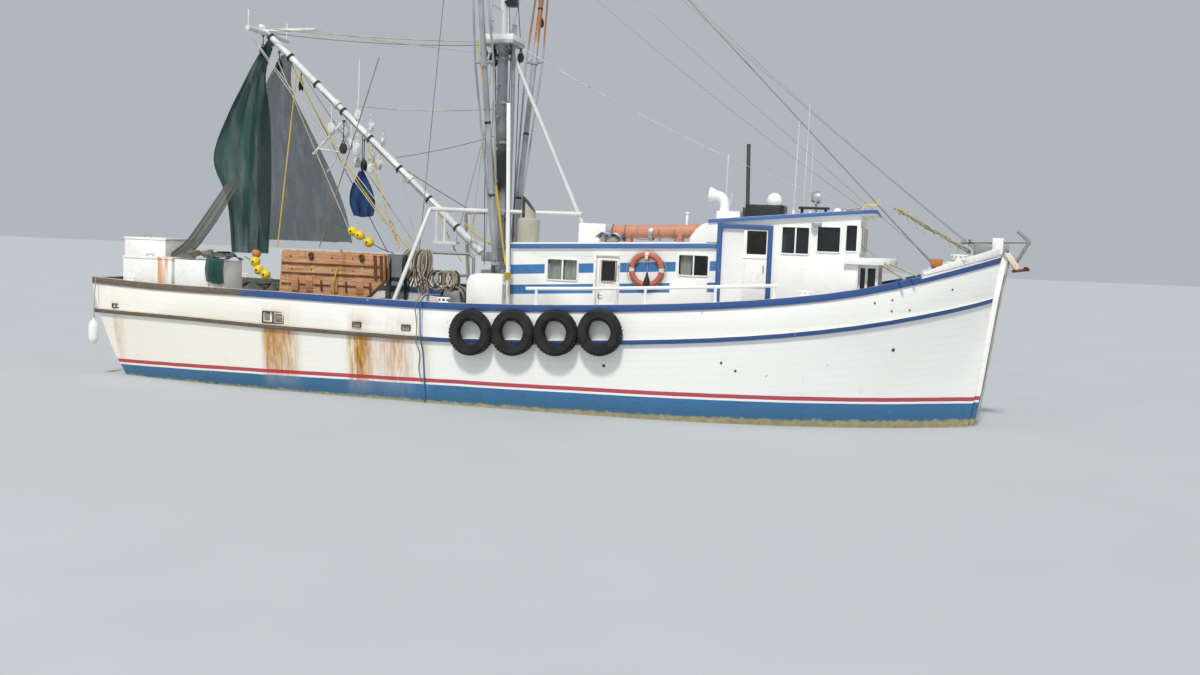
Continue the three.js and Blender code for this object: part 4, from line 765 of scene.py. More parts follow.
def add_round(a, b, r, sides=12, r2=None):
    a, b = Vector(a), Vector(b)
    way = b - a
    place = {"vertices": sides, "depth": way.length, "location": (a + b) / 2,
             "rotation": way.to_track_quat("Z", "Y").to_euler()}
    if r2 is None:
        bpy.ops.mesh.primitive_cylinder_add(radius=r, **place)
    else:
        bpy.ops.mesh.primitive_cone_add(radius1=r, radius2=r2, **place)


def add_ring(middle, r, thick, turn=(0, 0, 0), sides=20, around=8):
    bpy.ops.mesh.primitive_torus_add(location=middle, rotation=turn, major_radius=r, minor_radius=thick,
                                     major_segments=sides, minor_segments=around)


def add_ball(middle, r, stretch=(1, 1, 1), turn=(0, 0, 0), rings=8, sides=12):
    bpy.ops.mesh.primitive_uv_sphere_add(segments=sides, ring_count=rings, radius=r, location=middle,
                                         scale=stretch, rotation=turn)


def shaped(obj, finish, bevel=0.004, body="hull", angle=35):
    """Leaves edit mode and finishes a piece made of primitives."""
    leave()
    ease(obj, bevel)
    return settle(obj, finish, body, angle)


def blocks(name, rows, finish, bevel=0.006):
    """Squared pieces: each row is a lowest and a highest corner."""
    obj = blank(name)
    for low, high in rows:
        low, high = Vector(low), Vector(high)
        add_block((low + high) / 2, high - low)
    shaped(obj, finish, bevel)


def turned(name, at, profile, finish, sides=20):
    """A turned piece: a circle drawn up through (radius, height) steps, as on a lathe."""
    deselect()
    now_r, now_z = profile[0]
    bpy.ops.mesh.primitive_circle_add(vertices=sides, radius=now_r, fill_type="NGON",
                                      location=(at[0], at[1], at[2] + now_z))
    obj = bpy.context.active_object
    obj.name = name
    bpy.ops.object.transform_apply(location=True, rotation=True, scale=True)
    edit(obj)
    for r, z in profile[1:]:
        pull(0, 0, z - now_z)
        bpy.ops.transform.resize(value=(r / now_r, r / now_r, 1), center_override=(at[0], at[1], at[2] + z))
        now_r, now_z = r, z
    face_out()
    settle(obj, finish)


def lines(name, runs, finish, body="hull", sides=1):
    """Rods, pipes and ropes that follow their runs: each is a radius and a list of points."""
    curve = bpy.data.curves.new(name, "CURVE")
    curve.dimensions = "3D"
    curve.bevel_depth = 1.0
    curve.bevel_resolution = sides
    curve.use_fill_caps = True
    for r, points in runs:
        spline = curve.splines.new("POLY")
        spline.points.add(len(points) - 1)
        for point, at in zip(spline.points, points):
            point.co = (*at, 1)
            point.radius = r
    pick(linked(name, curve))
    bpy.ops.object.convert(target="MESH")
    obj = bpy.context.active_object
    obj.name = name
    return settle(obj, finish, body, 50)


def guy(name, r, points, finish):
    """A line through the points; it rides no body."""
    obj = lines(name, [(r, points)], finish, None)
    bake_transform(obj)


def eased(points, steps=5):
    """A smooth run through the points."""
    points = [Vector(p) for p in points]
    last = len(points) - 1
    out = []
    for i in range(last):
        p0, p1, p2, p3 = (points[max(0, min(last, k))] for k in (i - 1, i, i + 1, i + 2))
        for j in range(steps):
            t = j / steps
            out.append(0.5 * ((2 * p1) + (p2 - p0) * t + (2 * p0 - 5 * p1 + 4 * p2 - p3) * t * t
                              + (3 * p1 - p0 - 3 * p2 + p3) * t ** 3))
    out.append(points[-1])
    return out


def sagging(a, b, drop=0.1, steps=8):
    a, b = Vector(a), Vector(b)
    return [a.lerp(b, i / steps) - Vector((0, 0, drop * 4 * (i / steps) * (1 - i / steps)))
            for i in range(steps + 1)]


def plane_rim(name, low, high, wide, y, side, corner):
    """A window's frame: a flat plate with rounded corners, inset, emptied and given its depth."""
    (x0, z0), (x1, z1) = low, high
    deselect()
    bpy.ops.mesh.primitive_plane_add(size=1, location=((x0 + x1) / 2, y, (z0 + z1) / 2),
                                     rotation=(math.pi / 2, 0, 0))
    obj = bpy.context.active_object
    obj.name = name
    obj.scale = (x1 - x0, z1 - z0, 1)
    bpy.ops.object.transform_apply(location=True, rotation=True, scale=True)
    edit(obj)
    bpy.ops.mesh.bevel(offset=corner, segments=4, affect="VERTICES")
    select_all()
    bpy.ops.mesh.inset(thickness=wide, depth=0)
    bpy.ops.mesh.delete(type="FACE")
    select_all()
    pull(0, side * -0.03, 0)
    face_out()
    settle(obj, "plain_white", "hull", 30)


def woven(name, rows, finish, across, ripple, waves, seed):
    """A sheet through rows of points, with folds that run down it."""
    phase = random.Random(seed).random() * 6
    columns = [eased(column, 5) for column in zip(*(eased(row, across) for row in rows))]
    n, m = len(columns), len(columns[0])
    points = []
    for i, column in enumerate(columns):
        for j, p in enumerate(column):
            u, v = i / (n - 1), j / (m - 1)
            fold = math.sin(u * waves * 2 * math.pi + phase + 1.4 * math.sin(v * 3 + phase))
            fold += 0.45 * math.sin(u * waves * 4.7 * math.pi + phase * 2 + v * 2)
            here = column[min(j + 1, m - 1)] - column[max(j - 1, 0)]
            side = columns[min(i + 1, n - 1)][j] - columns[max(i - 1, 0)][j]
            normal = here.cross(side)
            normal = normal.normalized() if normal.length > 1e-6 else Vector((0, 1, 0))
            points.append(p + normal * fold * ripple * (0.35 + 0.65 * v))
    faces = [(i * m + j, (i + 1) * m + j, (i + 1) * m + j + 1, i * m + j + 1)
             for i in range(n - 1) for j in range(m - 1)]
    mesh = bpy.data.meshes.new(name)
    mesh.from_pydata([tuple(p) for p in points], [], faces)
    uv = mesh.uv_layers.new(name="UVMap")
    width = sum((columns[i + 1][m // 2] - columns[i][m // 2]).length for i in range(n - 1))
    length = sum((columns[n // 2][j + 1] - columns[n // 2][j]).length for j in range(m - 1))
    for loop in mesh.loops:
        i, j = divmod(loop.vertex_index, m)
        uv.data[loop.index].uv = (i / (n - 1) * width, j / (m - 1) * length)
    obj = linked(name, mesh)
    mesh.materials.append(made[finish])
    pick(obj)
    bpy.ops.object.shade_smooth_by_angle(angle=math.radians(60))
    obj["width"] = width
    return obj


def declare_sheet(obj):
    """Removes the measured width that woven stored on the sheet; the width is not used."""
    width = obj.pop("width")


def laid(name, rows, finish, held, rests_on, body="hull", **folds):
    """A woven sheet that rides one body."""
    obj = woven(name, rows, finish, **folds)
    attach(obj, body)
    declare_sheet(obj)


# Camera, floor and light

class TRAWLER_OT_stage(bpy.types.Operator):
    """Lay the floor at the waterline, light the boat and set the camera"""
    bl_idname = "trawler.stage"
    bl_label = "Stage"

    def execute(self, context):
        settings = context.scene.trawler_stage
        deselect()
        bpy.ops.mesh.primitive_plane_add(size=400, location=(0, 0, 0))
        floor = bpy.context.active_object
        floor.name = "stage_floor"
        floor.data.materials.append(made["studio_floor"])

        bpy.ops.object.light_add(type="SUN", rotation=(math.radians(38), math.radians(-8), math.radians(14)))
        sun = bpy.context.active_object
        sun.name = "stage_sun"
        sun.data.energy = settings.sun
        sun.data.angle = math.radians(7)
        sun.data.color = (1.0, 0.975, 0.94)

        bpy.ops.object.light_add(type="AREA", location=(-6, -30, 13), rotation=(math.radians(70), 0, 0))
        side = bpy.context.active_object
        side.name = "stage_side_light"
        side.data.shape = "RECTANGLE"
        side.data.size, side.data.size_y = 30, 12
        side.data.energy = 700

        world = bpy.data.worlds.new("stage_world")
        world.use_nodes = True
        world.node_tree.nodes["Background"].inputs[0].default_value = (0.80, 0.86, 0.93, 1)
        world.node_tree.nodes["Background"].inputs[1].default_value = settings.fill
        context.scene.world = world

        yaw, pitch, roll = math.radians(15), math.atan((337.5 - 244) / 1147.3), math.radians(2.2)
        ahead = Vector((-math.sin(yaw) * math.cos(pitch), math.cos(yaw) * math.cos(pitch), -math.sin(pitch)))
        flat = Vector((math.cos(yaw), math.sin(yaw), 0))
        above = flat.cross(ahead)
        right = flat * math.cos(roll) + above * math.sin(roll)
        up = above * math.cos(roll) - flat * math.sin(roll)
        turn = Matrix((right, up, -ahead)).transposed().to_4x4()
        bpy.ops.object.camera_add()
        camera = bpy.context.active_object
        camera.name = "stage_camera"
        camera.matrix_world = Matrix.Translation((8.1793, -25.1141, 3.5)) @ turn
        camera.data.lens = settings.lens
        camera.data.sensor_width = 36
        camera.data.clip_end = 600
        context.scene.camera = camera
        context.scene.view_settings.view_transform = "Standard"
        return {"FINISHED"}


class TRAWLER_OT_finishes(bpy.types.Operator):
    """Build every paint, metal, timber, rope and net material"""
    bl_idname = "trawler.finishes"
    bl_label = "Finishes"

    def execute(self, context):
        build_groups()
        build_hull_paint()
        build_deck_paint()
        build_rail_paint()
        build_house_paint()
        build_roof_paint()
        build_metals()
        build_woods()
        build_soft()
        build_stage_finish()
        return {"FINISHED"}


# Hull

RAIL_STEPS = ((-10.5, 2.25), (-8.0, 2.185), (-5.0, 2.165), (-1.7, 2.125), (0.25, 2.165), (2.2, 2.25), (4.5, 2.41),
              (6.1, 2.59), (7.2, 2.78), (8.55, 3.135), (9.2, 3.335), (10.0, 3.59))
RAIL_HALF = ((-10.4, 2.27), (-9.5, 2.47), (-8, 2.72), (-6, 2.89), (-4, 2.98), (0, 3.01), (3, 2.95),
             (5.5, 2.67), (7.2, 2.27), (8.2, 1.86), (9.0, 1.36), (9.55, 0.88), (9.9, 0.4))


def between(table, x):
    """The table's value at x, along straight steps."""
    for (x0, v0), (x1, v1) in zip(table, table[1:]):
        if x <= x1:
            return v0 + (v1 - v0) * max(0, (x - x0) / (x1 - x0))
    return table[-1][1]


trees = {}


def meets(node, start, way):
    """Where a straight look from start meets a CAD node: the point and its normal, or two Nones."""
    if node not in trees:
        mesh = frame["nodes"][node].data
        trees[node] = BVHTree.FromPolygons([v.co for v in mesh.vertices],
                                           [tuple(p.vertices) for p in mesh.polygons])
    point, normal, _, _ = trees[node].ray_cast(Vector(start), Vector(way))
    return point, normal


def hull_skin(x, z, side=STARBOARD):
    """A point on the hull's side at this x and height, and its normal."""
    for node in ("hull", "bulwark_starboard" if side < 0 else "bulwark_port"):
        point, normal = meets(node, (x, side * 6, z), (0, -side, 0))
        if point:
            return point, normal
    return Vector((x, side * 2.9, z)), Vector((0, side, 0))


def rail_edge(x, side=STARBOARD):
    """Where the cap rail's outer face lies at x."""
    point, _ = meets("cap_rail", (x, side * 6, between(RAIL_STEPS, x) - 0.04), (0, -side, 0))
    return point.y if point else side * between(RAIL_HALF, x)


def bulwark_frames():
    """Upright timbers inside the bulwarks."""
    obj = blank("bulwark_frames")
    for side in (STARBOARD, PORT):
        x = -9.6
        while x < 6.4:
            top = between(RAIL_STEPS, x) - 0.12
            half = between(RAIL_HALF, x) - 0.205
            deck = top - 0.6
            add_block((x, side * half, (top + deck) / 2), (0.11, 0.09, top - deck))
            x += 0.62
    shaped(obj, "plain_white", 0.008)


def stem_iron():
    """A band of plank and stem iron that follows the bow's edge."""
    points = []
    for step in range(12):
        point, _ = meets("keel", (13, 0, 0.1 + (3.2 - 0.1) * step / 11), (-1, 0, 0))
        if point:
            points.append(point + Vector((0.004, 0, 0)))
    lines("stem_iron", [(0.022, points)], "grey_metal", sides=2)


def freeing_ports():
    """Frames round the freeing ports and scuppers, and dark discs in the openings as painted shade."""
    for side, tag in SIDES:
        obj = blank("port_frames_" + tag)
        for x, z, long, high, bars in ((-5.205, 1.63, 0.49, 0.22, 1), (-3.15, 1.59, 0.16, 0.08, 0),
                                       (-2.01, 1.59, 0.17, 0.08, 0), (-9.6, 1.64, 0.19, 0.06, 0)):
            spot, normal = hull_skin(x, z, side)
            y = spot.y + side * 0.006
            rim = 0.022
            add_block((x, y, z + high / 2 + rim / 2), (long + rim * 2, 0.02, rim))
            add_block((x, y, z - high / 2 - rim / 2), (long + rim * 2, 0.02, rim))
            for end in (-1, 1):
                add_block((x + end * (long / 2 + rim / 2), y, z), (rim, 0.02, high))
            for _ in range(bars):
                add_block((x, y, z), (0.035, 0.02, high))
        shaped(obj, "black_iron", 0.003)
        # Dark discs where the ports and outlets open: painted shade inside the openings
        obj = blank("port_darks_" + tag)
        for x, z, long, high in ((-9.6, 1.64, 0.18, 0.05), (2.3, 1.05, 0.06, 0.06), (4.65, 1.24, 0.05, 0.05),
                                 (4.93, 1.09, 0.05, 0.05), (7.93, 1.62, 0.07, 0.07)):
            spot, normal = hull_skin(x, z, side)
            add_round(spot - normal * 0.01, spot + normal * 0.012, min(long, high) / 2, 12)
        shaped(obj, "black_iron", 0.004)


def bow_bolts():
    """Bolt heads at the bow."""
    rows = ((7.53, 2.55), (7.86, 2.62), (7.86, 2.40), (8.2, 2.43), (9.0, 2.86))
    for side, tag in SIDES:
        obj = blank("bow_bolts_" + tag)
        for x, z in rows:
            spot, normal = hull_skin(x, z, side)
            add_round(spot - normal * 0.01, spot + normal * 0.014, 0.02, 8)
        shaped(obj, "rusty_iron", 0.003)


class TRAWLER_OT_hull(bpy.types.Operator):
    """Paint the hull, its bulwarks, keel, rudder and propeller"""
    bl_idname = "trawler.hull"
    bl_label = "Hull"

    def execute(self, context):
        hull = fitted("hull", "hull_paint", 0.0, 30)
        repaint(hull, "deck_paint", lambda at, normal: normal.z > 0.85 and at.z > 1.2)
        for node in ("bulwark_starboard", "bulwark_port", "bulwark_stern"):
            fitted(node, "hull_paint", 0.006, 30)
        fitted("keel", "hull_paint", 0.012, 30)
        fitted("rudder", "hull_paint", 0.01, 30)
        fitted("propeller", "bronze", 0.004, 40)
        fitted("cap_rail", "rail_paint", 0.012, 30)
        fitted("rub_rail", "rub_paint", 0.018, 30)
        stem_iron()
        bulwark_frames()
        freeing_ports()
        bow_bolts()
        return {"FINISHED"}


def washboard():
    """The white board that rises from the cap rail to the stem head."""
    for side, tag in SIDES:
        obj = blank("washboard_" + tag)
        spots = []
        for step in range(13):
            x = 8.42 + (9.88 - 8.42) * step / 12
            high = 0.05 + 0.06 * min(1, step / 4) + 0.03 * step / 12
            y = rail_edge(x, side) - side * 0.035
            spots.append((Vector((x, y, between(RAIL_STEPS, x) + 0.028)), high))
        for (a, low), (b, high) in zip(spots, spots[1:]):
            lift = Vector((0, 0, (low + high) / 4))
            add_bar(a + lift, b + lift + (b - a) * 0.06, 0.045, (low + high) / 2)
        shaped(obj, "plain_white", 0.004)


def cleats():
    for side, tag in SIDES:
        obj = blank("rail_cleats_" + tag)
        for x, rise in ((9.12, 0.12), (6.2, 0.0), (-1.2, 0.0), (-9.2, 0.0)):
            y = rail_edge(x, side) - side * (0.035 if rise else 0.1)
            z = between(RAIL_STEPS, x) + 0.03 + rise
            add_block((x, y, z + 0.006), (0.2, 0.05, 0.024))
            for end in (-0.05, 0.05):
                add_round((x + end, y, z + 0.01), (x + end, y, z + 0.075), 0.018, 10)
            add_round((x - 0.14, y, z + 0.085), (x + 0.14, y, z + 0.085), 0.017, 10)
        shaped(obj, "plain_white", 0.005)


class TRAWLER_OT_rails(bpy.types.Operator):
    """Finish the side rails, the bow washboard and the cleats on the cap"""
    bl_idname = "trawler.rails"
    bl_label = "Rails"

    def execute(self, context):
        for side in ("starboard", "port"):
            fitted("side_rail_" + side, "rail_white", 0.0, 40)
        washboard()
        cleats()
        return {"FINISHED"}


# Deckhouse

def house_windows(side, tag):
    out = side * (HOUSE_Y + 0.022)
    for number, low, high in ((1, (0.70, 2.69), (1.40, 3.165)), (3, (3.53, 2.905), (4.19, 3.365))):
        plane_rim(f"house_window_rim_{number}_{tag}", low, high, 0.028, out, side, 0.05)
    obj = blank("house_glass_" + tag)
    for low, high in (((0.715, 2.70), (1.385, 3.155)), ((3.545, 2.915), (4.175, 3.355))):
        add_block(((low[0] + high[0]) / 2, side * (HOUSE_Y - 0.03), (low[1] + high[1]) / 2),
                  (high[0] - low[0] + 0.02, 0.006, high[1] - low[1] + 0.02))
    shaped(obj, "glass", 0)
    obj = blank("house_mullions_" + tag)
    add_block((1.05, side * (HOUSE_Y - 0.012), 2.93), (0.035, 0.05, 0.46))
    add_block((3.86, side * (HOUSE_Y - 0.012), 3.135), (0.03, 0.05, 0.44))
    shaped(obj, "plain_white", 0.004)
    for number, x0, x1, z0, z1 in ((1, 0.74, 1.02, 2.66, 3.2), (2, 1.08, 1.37, 2.66, 3.2),
                                   (3, 3.57, 3.80, 2.9, 3.4)):
        curtain(f"house_curtain_{number}_{tag}", x0, x1, z0, z1, side * (HOUSE_Y - 0.1), number)


def house_door_trim(side, tag):
    """The side door's white surround, its ledges, latch and small window."""
    out = side * (HOUSE_Y + 0.016)
    obj = blank("house_door_frame_" + tag)
    add_block((1.765, out, 2.475), (0.05, 0.034, 1.56))
    add_block((2.02, out, 3.28), (0.54, 0.034, 0.055))
    add_block((2.045, out, 1.69), (0.61, 0.05, 0.05))
    shaped(obj, "plain_white", 0.006)
    body = "house_door_" + tag
    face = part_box(body)[0].y if side < 0 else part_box(body)[1].y
    obj = blank("house_door_ledges_" + tag)
    for x0, z0, x1, z1 in ((1.835, 1.76, 1.875, 3.2), (2.215, 1.76, 2.255, 3.2), (1.875, 1.76, 2.215, 1.83),
                           (1.875, 2.2, 2.215, 2.255), (1.875, 2.6, 2.215, 2.67)):
        add_block(((x0 + x1) / 2, face + side * 0.004, (z0 + z1) / 2), (x1 - x0, 0.016, z1 - z0))
    shaped(obj, "plain_white", 0.004, body)
    rim = blank("house_door_rim_" + tag)
    for x in (1.925, 2.235):
        add_block((x, face + side * 0.005, 2.947), (0.024, 0.02, 0.43))
    for z in (2.735, 3.155):
        add_block((2.08, face + side * 0.005, z), (0.334, 0.02, 0.024))
    shaped(rim, "brown_timber", 0.003, body)
    # The door's window is an opaque dark pane: painted shade of the room behind it
    obj = blank("house_door_glass_" + tag)
    add_block((2.08, face - side * 0.022, 2.947), (0.29, 0.006, 0.4))
    shaped(obj, "dark_glass", 0, body)
    obj = blank("house_door_latch_" + tag)
    add_block((1.87, face + side * 0.014, 2.43), (0.03, 0.02, 0.13))
    add_round((1.87, face + side * 0.012, 2.43), (1.87, face + side * 0.034, 2.43), 0.012, 10)
    add_round((1.862, face + side * 0.03, 2.43), (1.96, face + side * 0.03, 2.43), 0.009, 8)
    shaped(obj, "galvanised", 0.003, body)


def buoy_lashing():
    """Grab line and the dark float that hangs in the ring."""
    runs = []
    for step in range(4):
        start = math.pi / 4 + step * math.pi / 2
        points = []
        for k in range(9):
            angle = start + math.pi / 2 * k / 8
            r = 0.385 + 0.035 * math.sin(math.pi * k / 8)
            points.append((2.89 + math.cos(angle) * r, -1.865, 3.0 + math.sin(angle) * r))
        runs.append((0.007, points))
    lines("buoy_line", runs, "rope_white")
    turned("hanging_float", (2.905, -1.865, 2.64), [(0.01, 0), (0.075, 0.015), (0.085, 0.05), (0.06, 0.15),
                                                   (0.03, 0.24), (0.02, 0.3), (0.012, 0.31)], "black_plastic",
           sides=16)
    lines("hanging_float_line", [(0.006, [(2.905, -1.865, 2.94), (2.9, -1.86, 3.2), (2.895, -1.83, 3.42)])],
          "rope_white")


class TRAWLER_OT_deckhouse(bpy.types.Operator):
    """Finish the low deckhouse: walls, roof, doors, windows, curtains and lifebuoy"""
    bl_idname = "trawler.deckhouse"
    bl_label = "Deckhouse"

    def execute(self, context):
        for node in ("house_side_starboard", "house_side_port", "house_aft_wall"):
            fitted(node, "house_paint", 0.006)
        fitted("house_roof", "roof_paint", 0.012)
        for node in ("house_door_starboard", "house_door_port"):
            fitted(node, "plain_white", 0.006)
        fitted("house_door_aft", "plain_white", 0.006)
        fitted("lifebuoy", "ring_cover", 0.0, 60)
        for side, tag in SIDES:
            house_windows(side, tag)
            house_door_trim(side, tag)
        buoy_lashing()
        return {"FINISHED"}


def curtain(name, x0, x1, z0, z1, y, seed):
    rows = [[(x0 + (x1 - x0) * k / 3, y, z) for k in range(4)] for z in (z1, (z0 + z1) / 2, z0)]
    laid(name, rows, "curtain", "hung", ["house_roof" if x0 < 4.3 else "pilothouse_roof"],
         across=6, ripple=0.014, waves=3.2, seed=seed)


def pilot_door_trim(side, tag):
    body = "pilot_door_" + tag
    low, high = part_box(body)
    y = low.y if side < 0 else high.y
    obj = blank("pilot_door_trim_" + tag)
    add_block(((low.x + high.x) / 2, y + side * 0.004, 3.34), (high.x - low.x, 0.02, 0.035))
    add_block(((low.x + high.x) / 2, y + side * 0.004, 2.75), (high.x - low.x, 0.02, 0.035))
    shaped(obj, "plain_white", 0.004, body)
    obj = blank("pilot_door_handle_" + tag)
    add_round((5.3, y + side * 0.02, 3.05), (5.3, y + side * 0.02, 3.2), 0.012, 10)
    for z in (3.06, 3.19):
        add_round((5.3, y - side * 0.003, z), (5.3, y + side * 0.024, z), 0.009, 8)
    shaped(obj, "galvanised", 0.002, body)


def pilot_windows(side, tag):
    out = side * (HOUSE_Y + 0.022)
    rows = ((1, (5.62, 3.435), (6.20, 4.005)), (2, (6.32, 3.495), (6.81, 4.03)),
            (3, (6.88, 3.525), (7.135, 4.08)))
    for number, low, high in rows:
        plane_rim(f"pilot_window_rim_{number}_{tag}", low, high, 0.026, out, side, 0.04)
    # Side panes darkened with painted shade of the wheelhouse behind them
    obj = blank("pilot_glass_" + tag)
    for _, low, high in rows:
        add_block(((low[0] + high[0]) / 2, side * (HOUSE_Y - 0.03), (low[1] + high[1]) / 2),
                  (high[0] - low[0] - 0.01, 0.006, high[1] - low[1] - 0.01))
    shaped(obj, "tinted_glass", 0)
    obj = blank("pilot_mullions_" + tag)
    add_block((5.91, side * (HOUSE_Y - 0.012), 3.722), (0.03, 0.05, 0.54))
    shaped(obj, "plain_white", 0.004)
    curtain(f"pilot_curtain_{tag}", 6.34, 6.52, 3.5, 4.02, side * (HOUSE_Y - 0.1), 4)


def wing(side, tag):
    """White cheek where the pilothouse roof's aft edge curves down to the low roof."""
    y0, y1 = side * 1.72, side * 1.86
    outline = [(4.13, 4.02)]
    for step in range(9):
        t = step / 8
        outline.append((4.13 - 0.36 * t, 4.01 - 0.31 * t ** 1.9))
    outline += [(3.77, 3.6), (4.34, 3.63), (4.34, 4.02)]
    name = "roof_wing_" + tag
    mesh = bpy.data.meshes.new(name)
    mesh.from_pydata([(x, y0, z) for x, z in outline], [], [tuple(range(len(outline)))])
    obj = linked(name, mesh)
    edit(obj)
    pull(0, y1 - y0, 0)
    face_out()
    apply_modifier(obj, "BEVEL", width=0.006, segments=2, limit_method="ANGLE")
    settle(obj, "plain_white", "hull")


def front_windows():
    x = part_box("pilothouse_front")[1].x
    obj = blank("front_glass")
    for y0, y1 in ((-1.62, -0.64), (-0.49, 0.49), (0.64, 1.62)):
        add_block((x - 0.03, (y0 + y1) / 2, 3.805), (0.006, y1 - y0 + 0.01, 0.53))
    add_block((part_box("pilothouse_aft_wall")[0].x + 0.03, 0, 3.8), (0.006, 0.61, 0.25))
    shaped(obj, "glass", 0)
    obj = blank("front_window_rims")
    for y0, y1 in ((-1.62, -0.64), (-0.49, 0.49), (0.64, 1.62)):
        for z in (3.53, 4.08):
            add_block((x + 0.008, (y0 + y1) / 2, z), (0.03, y1 - y0 + 0.06, 0.03))
        for y in (y0 - 0.015, y1 + 0.015):
            add_block((x + 0.008, y, 3.805), (0.03, 0.03, 0.55))
    shaped(obj, "plain_white", 0.006)
    # Opaque dark panes in the fore cabin's sides: painted shade of the room behind them
    obj = blank("fore_cabin_glass")
    for side in (STARBOARD, PORT):
        for x0, x1 in ((7.205, 7.3), (7.35, 7.5)):
            add_block(((x0 + x1) / 2, side * 1.53, 3.0), (x1 - x0 + 0.01, 0.006, 0.45))
    shaped(obj, "dark_glass", 0)


def helm():
    """Wheel, console and seat behind the front windows."""
    obj = blank("helm_console")
    add_block((6.82, 0, 2.72), (0.42, 1.8, 0.95))
    add_block((6.74, 0, 3.23), (0.3, 1.7, 0.07), (0, math.radians(18), 0))
    add_block((6.84, 0.62, 3.33), (0.16, 0.3, 0.18))
    add_block((6.84, -0.55, 3.31), (0.14, 0.34, 0.16))
    shaped(obj, "brown_timber", 0.012)
    obj = blank("helm_wheel")
    turn = (0, math.radians(78), 0)
    centre = Vector((6.5, 0, 3.2))
    add_ring(centre, 0.33, 0.018, turn, 32, 8)
    add_ring(centre, 0.06, 0.022, turn, 16, 8)
    spin = Matrix.Rotation(math.radians(78), 3, "Y")
    for k in range(6):
        angle = k * math.pi / 3
        way = spin @ Vector((math.cos(angle), math.sin(angle), 0))
        add_round(centre + way * 0.03, centre + way * 0.42, 0.013, 8)
    add_round(centre, centre + spin @ Vector((0, 0, 0.2)), 0.03, 10)
    shaped(obj, "brown_timber", 0.0)
    obj = blank("helm_seat")
    add_round((5.95, 0.1, 2.3), (5.95, 0.1, 2.95), 0.05, 12)
    add_block((5.95, 0.1, 3.0), (0.5, 0.52, 0.1))
    add_block((5.7, 0.1, 3.3), (0.09, 0.5, 0.5))
    shaped(obj, "black_plastic", 0.03)


class TRAWLER_OT_pilothouse(bpy.types.Operator):
    """Finish the raised pilothouse: walls, blue door frames, windows and the fore cabin"""
    bl_idname = "trawler.pilothouse"
    bl_label = "Pilothouse"

    def execute(self, context):
        for node in ("pilothouse_front", "pilothouse_aft_wall"):
            fitted(node, "plain_white", 0.006)
        for node in ("pilothouse_side_starboard", "pilothouse_side_port"):
            wall = fitted(node, "plain_white", 0.006)
            repaint(wall, "trim_blue",
                    lambda at, _: abs(at.y) > HOUSE_Y + 0.008 and 4.3 < at.x < 5.5 and at.z > 2.16)
        fitted("fore_cabin", "plain_white", 0.008)
        fitted("pilothouse_roof", "roof_paint", 0.012)
        for side, tag in SIDES:
            fitted("pilot_door_" + tag, "plain_white", 0.005)
            pilot_door_trim(side, tag)
            pilot_windows(side, tag)
            wing(side, tag)
        front_windows()
        helm()
        return {"FINISHED"}


# Roof gear

def float_lashings():
    runs = []
    for x in (2.04, 2.32, 3.05, 3.38, 3.86):
        points = []
        for k in range(17):
            angle = 2 * math.pi * k / 16
            points.append((x + 0.01 * math.sin(3 * angle), -1.45 + math.cos(angle) * 0.152,
                           3.77 + math.sin(angle) * 0.152))
        runs.append((0.009, points))
    runs.append((0.008, eased([(2.0, -1.6, 3.72), (2.2, -1.62, 3.64), (2.45, -1.61, 3.7), (2.7, -1.62, 3.62),
                               (3.1, -1.61, 3.7), (3.5, -1.62, 3.66), (3.9, -1.6, 3.74)], 4)))
    lines("float_lashings", runs, "rope_brown")
    obj = blank("float_strap")
    for k in range(24):
        angle = 2 * math.pi * k / 24
        y, z = -1.45 + math.cos(angle) * 0.153, 3.77 + math.sin(angle) * 0.153
        add_block((2.87, y, z), (0.1, 0.012, 0.045), (angle, 0, 0))
    shaped(obj, "galvanised", 0.002)
    obj = blank("roof_post")
    add_round((3.62, -1.45, 3.9), (3.62, -1.45, 4.21), 0.03, 12)
    add_round((3.62, -1.45, 4.19), (3.62, -1.45, 4.23), 0.045, 12)
    add_round((3.62, -1.45, 3.88), (3.62, -1.45, 3.93), 0.07, 12)
    shaped(obj, "rail_white", 0.004)


def box_cloth():
    """Old cloth and rope left between the roof box and the float."""
    rows = []
    for k in range(5):
        y = -1.86 + 0.2 * k
        rows.append([(1.75, y, 3.62 + 0.03 * (k % 2)), (1.9, y, 3.75), (2.06, y, 3.68 + 0.05 * math.sin(k)),
                     (2.2, y, 3.72), (2.34, y, 3.56)])
    laid("roof_cloth", rows, "old_cloth", "laid", ["house_roof", "roof_box"],
         across=4, ripple=0.03, waves=2.2, seed=3)
    coils("roof_coil", (2.12, -1.7, 3.55), 0.15, 5, 0.011, "rope_white", seed=4)


def roof_lamps():
    for side, tag in SIDES:
        turned("side_lamp_" + tag, (6.32, side * 1.885, 3.99),
               [(0.03, 0.12), (0.09, 0.11), (0.105, 0.09), (0.1, 0.05), (0.07, 0.015), (0.02, 0.0)],
               "lamp_lens")
        obj = blank("side_lamp_bracket_" + tag)
        add_block((6.32, side * 1.84, 4.09), (0.1, 0.1, 0.02))
        shaped(obj, "plain_white", 0.003)
    # Searchlight on its stem at the roof's middle
    obj = blank("searchlight")
    add_round((6.21, -0.9, 4.2), (6.21, -0.9, 4.5), 0.022, 12)
    add_round((6.21, -0.9, 4.19), (6.21, -0.9, 4.25), 0.08, 16)
    add_block((6.21, -0.9, 4.5), (0.04, 0.28, 0.025))
    for y in (-1.035, -0.765):
        add_block((6.21, y, 4.57), (0.04, 0.014, 0.16))
    add_round((6.10, -0.9, 4.63), (6.20, -0.9, 4.63), 0.09, 20, 0.125)
    add_round((6.20, -0.9, 4.63), (6.29, -0.9, 4.63), 0.125, 20)
    shaped(obj, "galvanised", 0.004)
    obj = blank("searchlight_lens")
    add_ball((6.285, -0.9, 4.63), 0.11, (0.3, 1, 1), rings=8, sides=20)
    shaped(obj, "lamp_lens", 0)


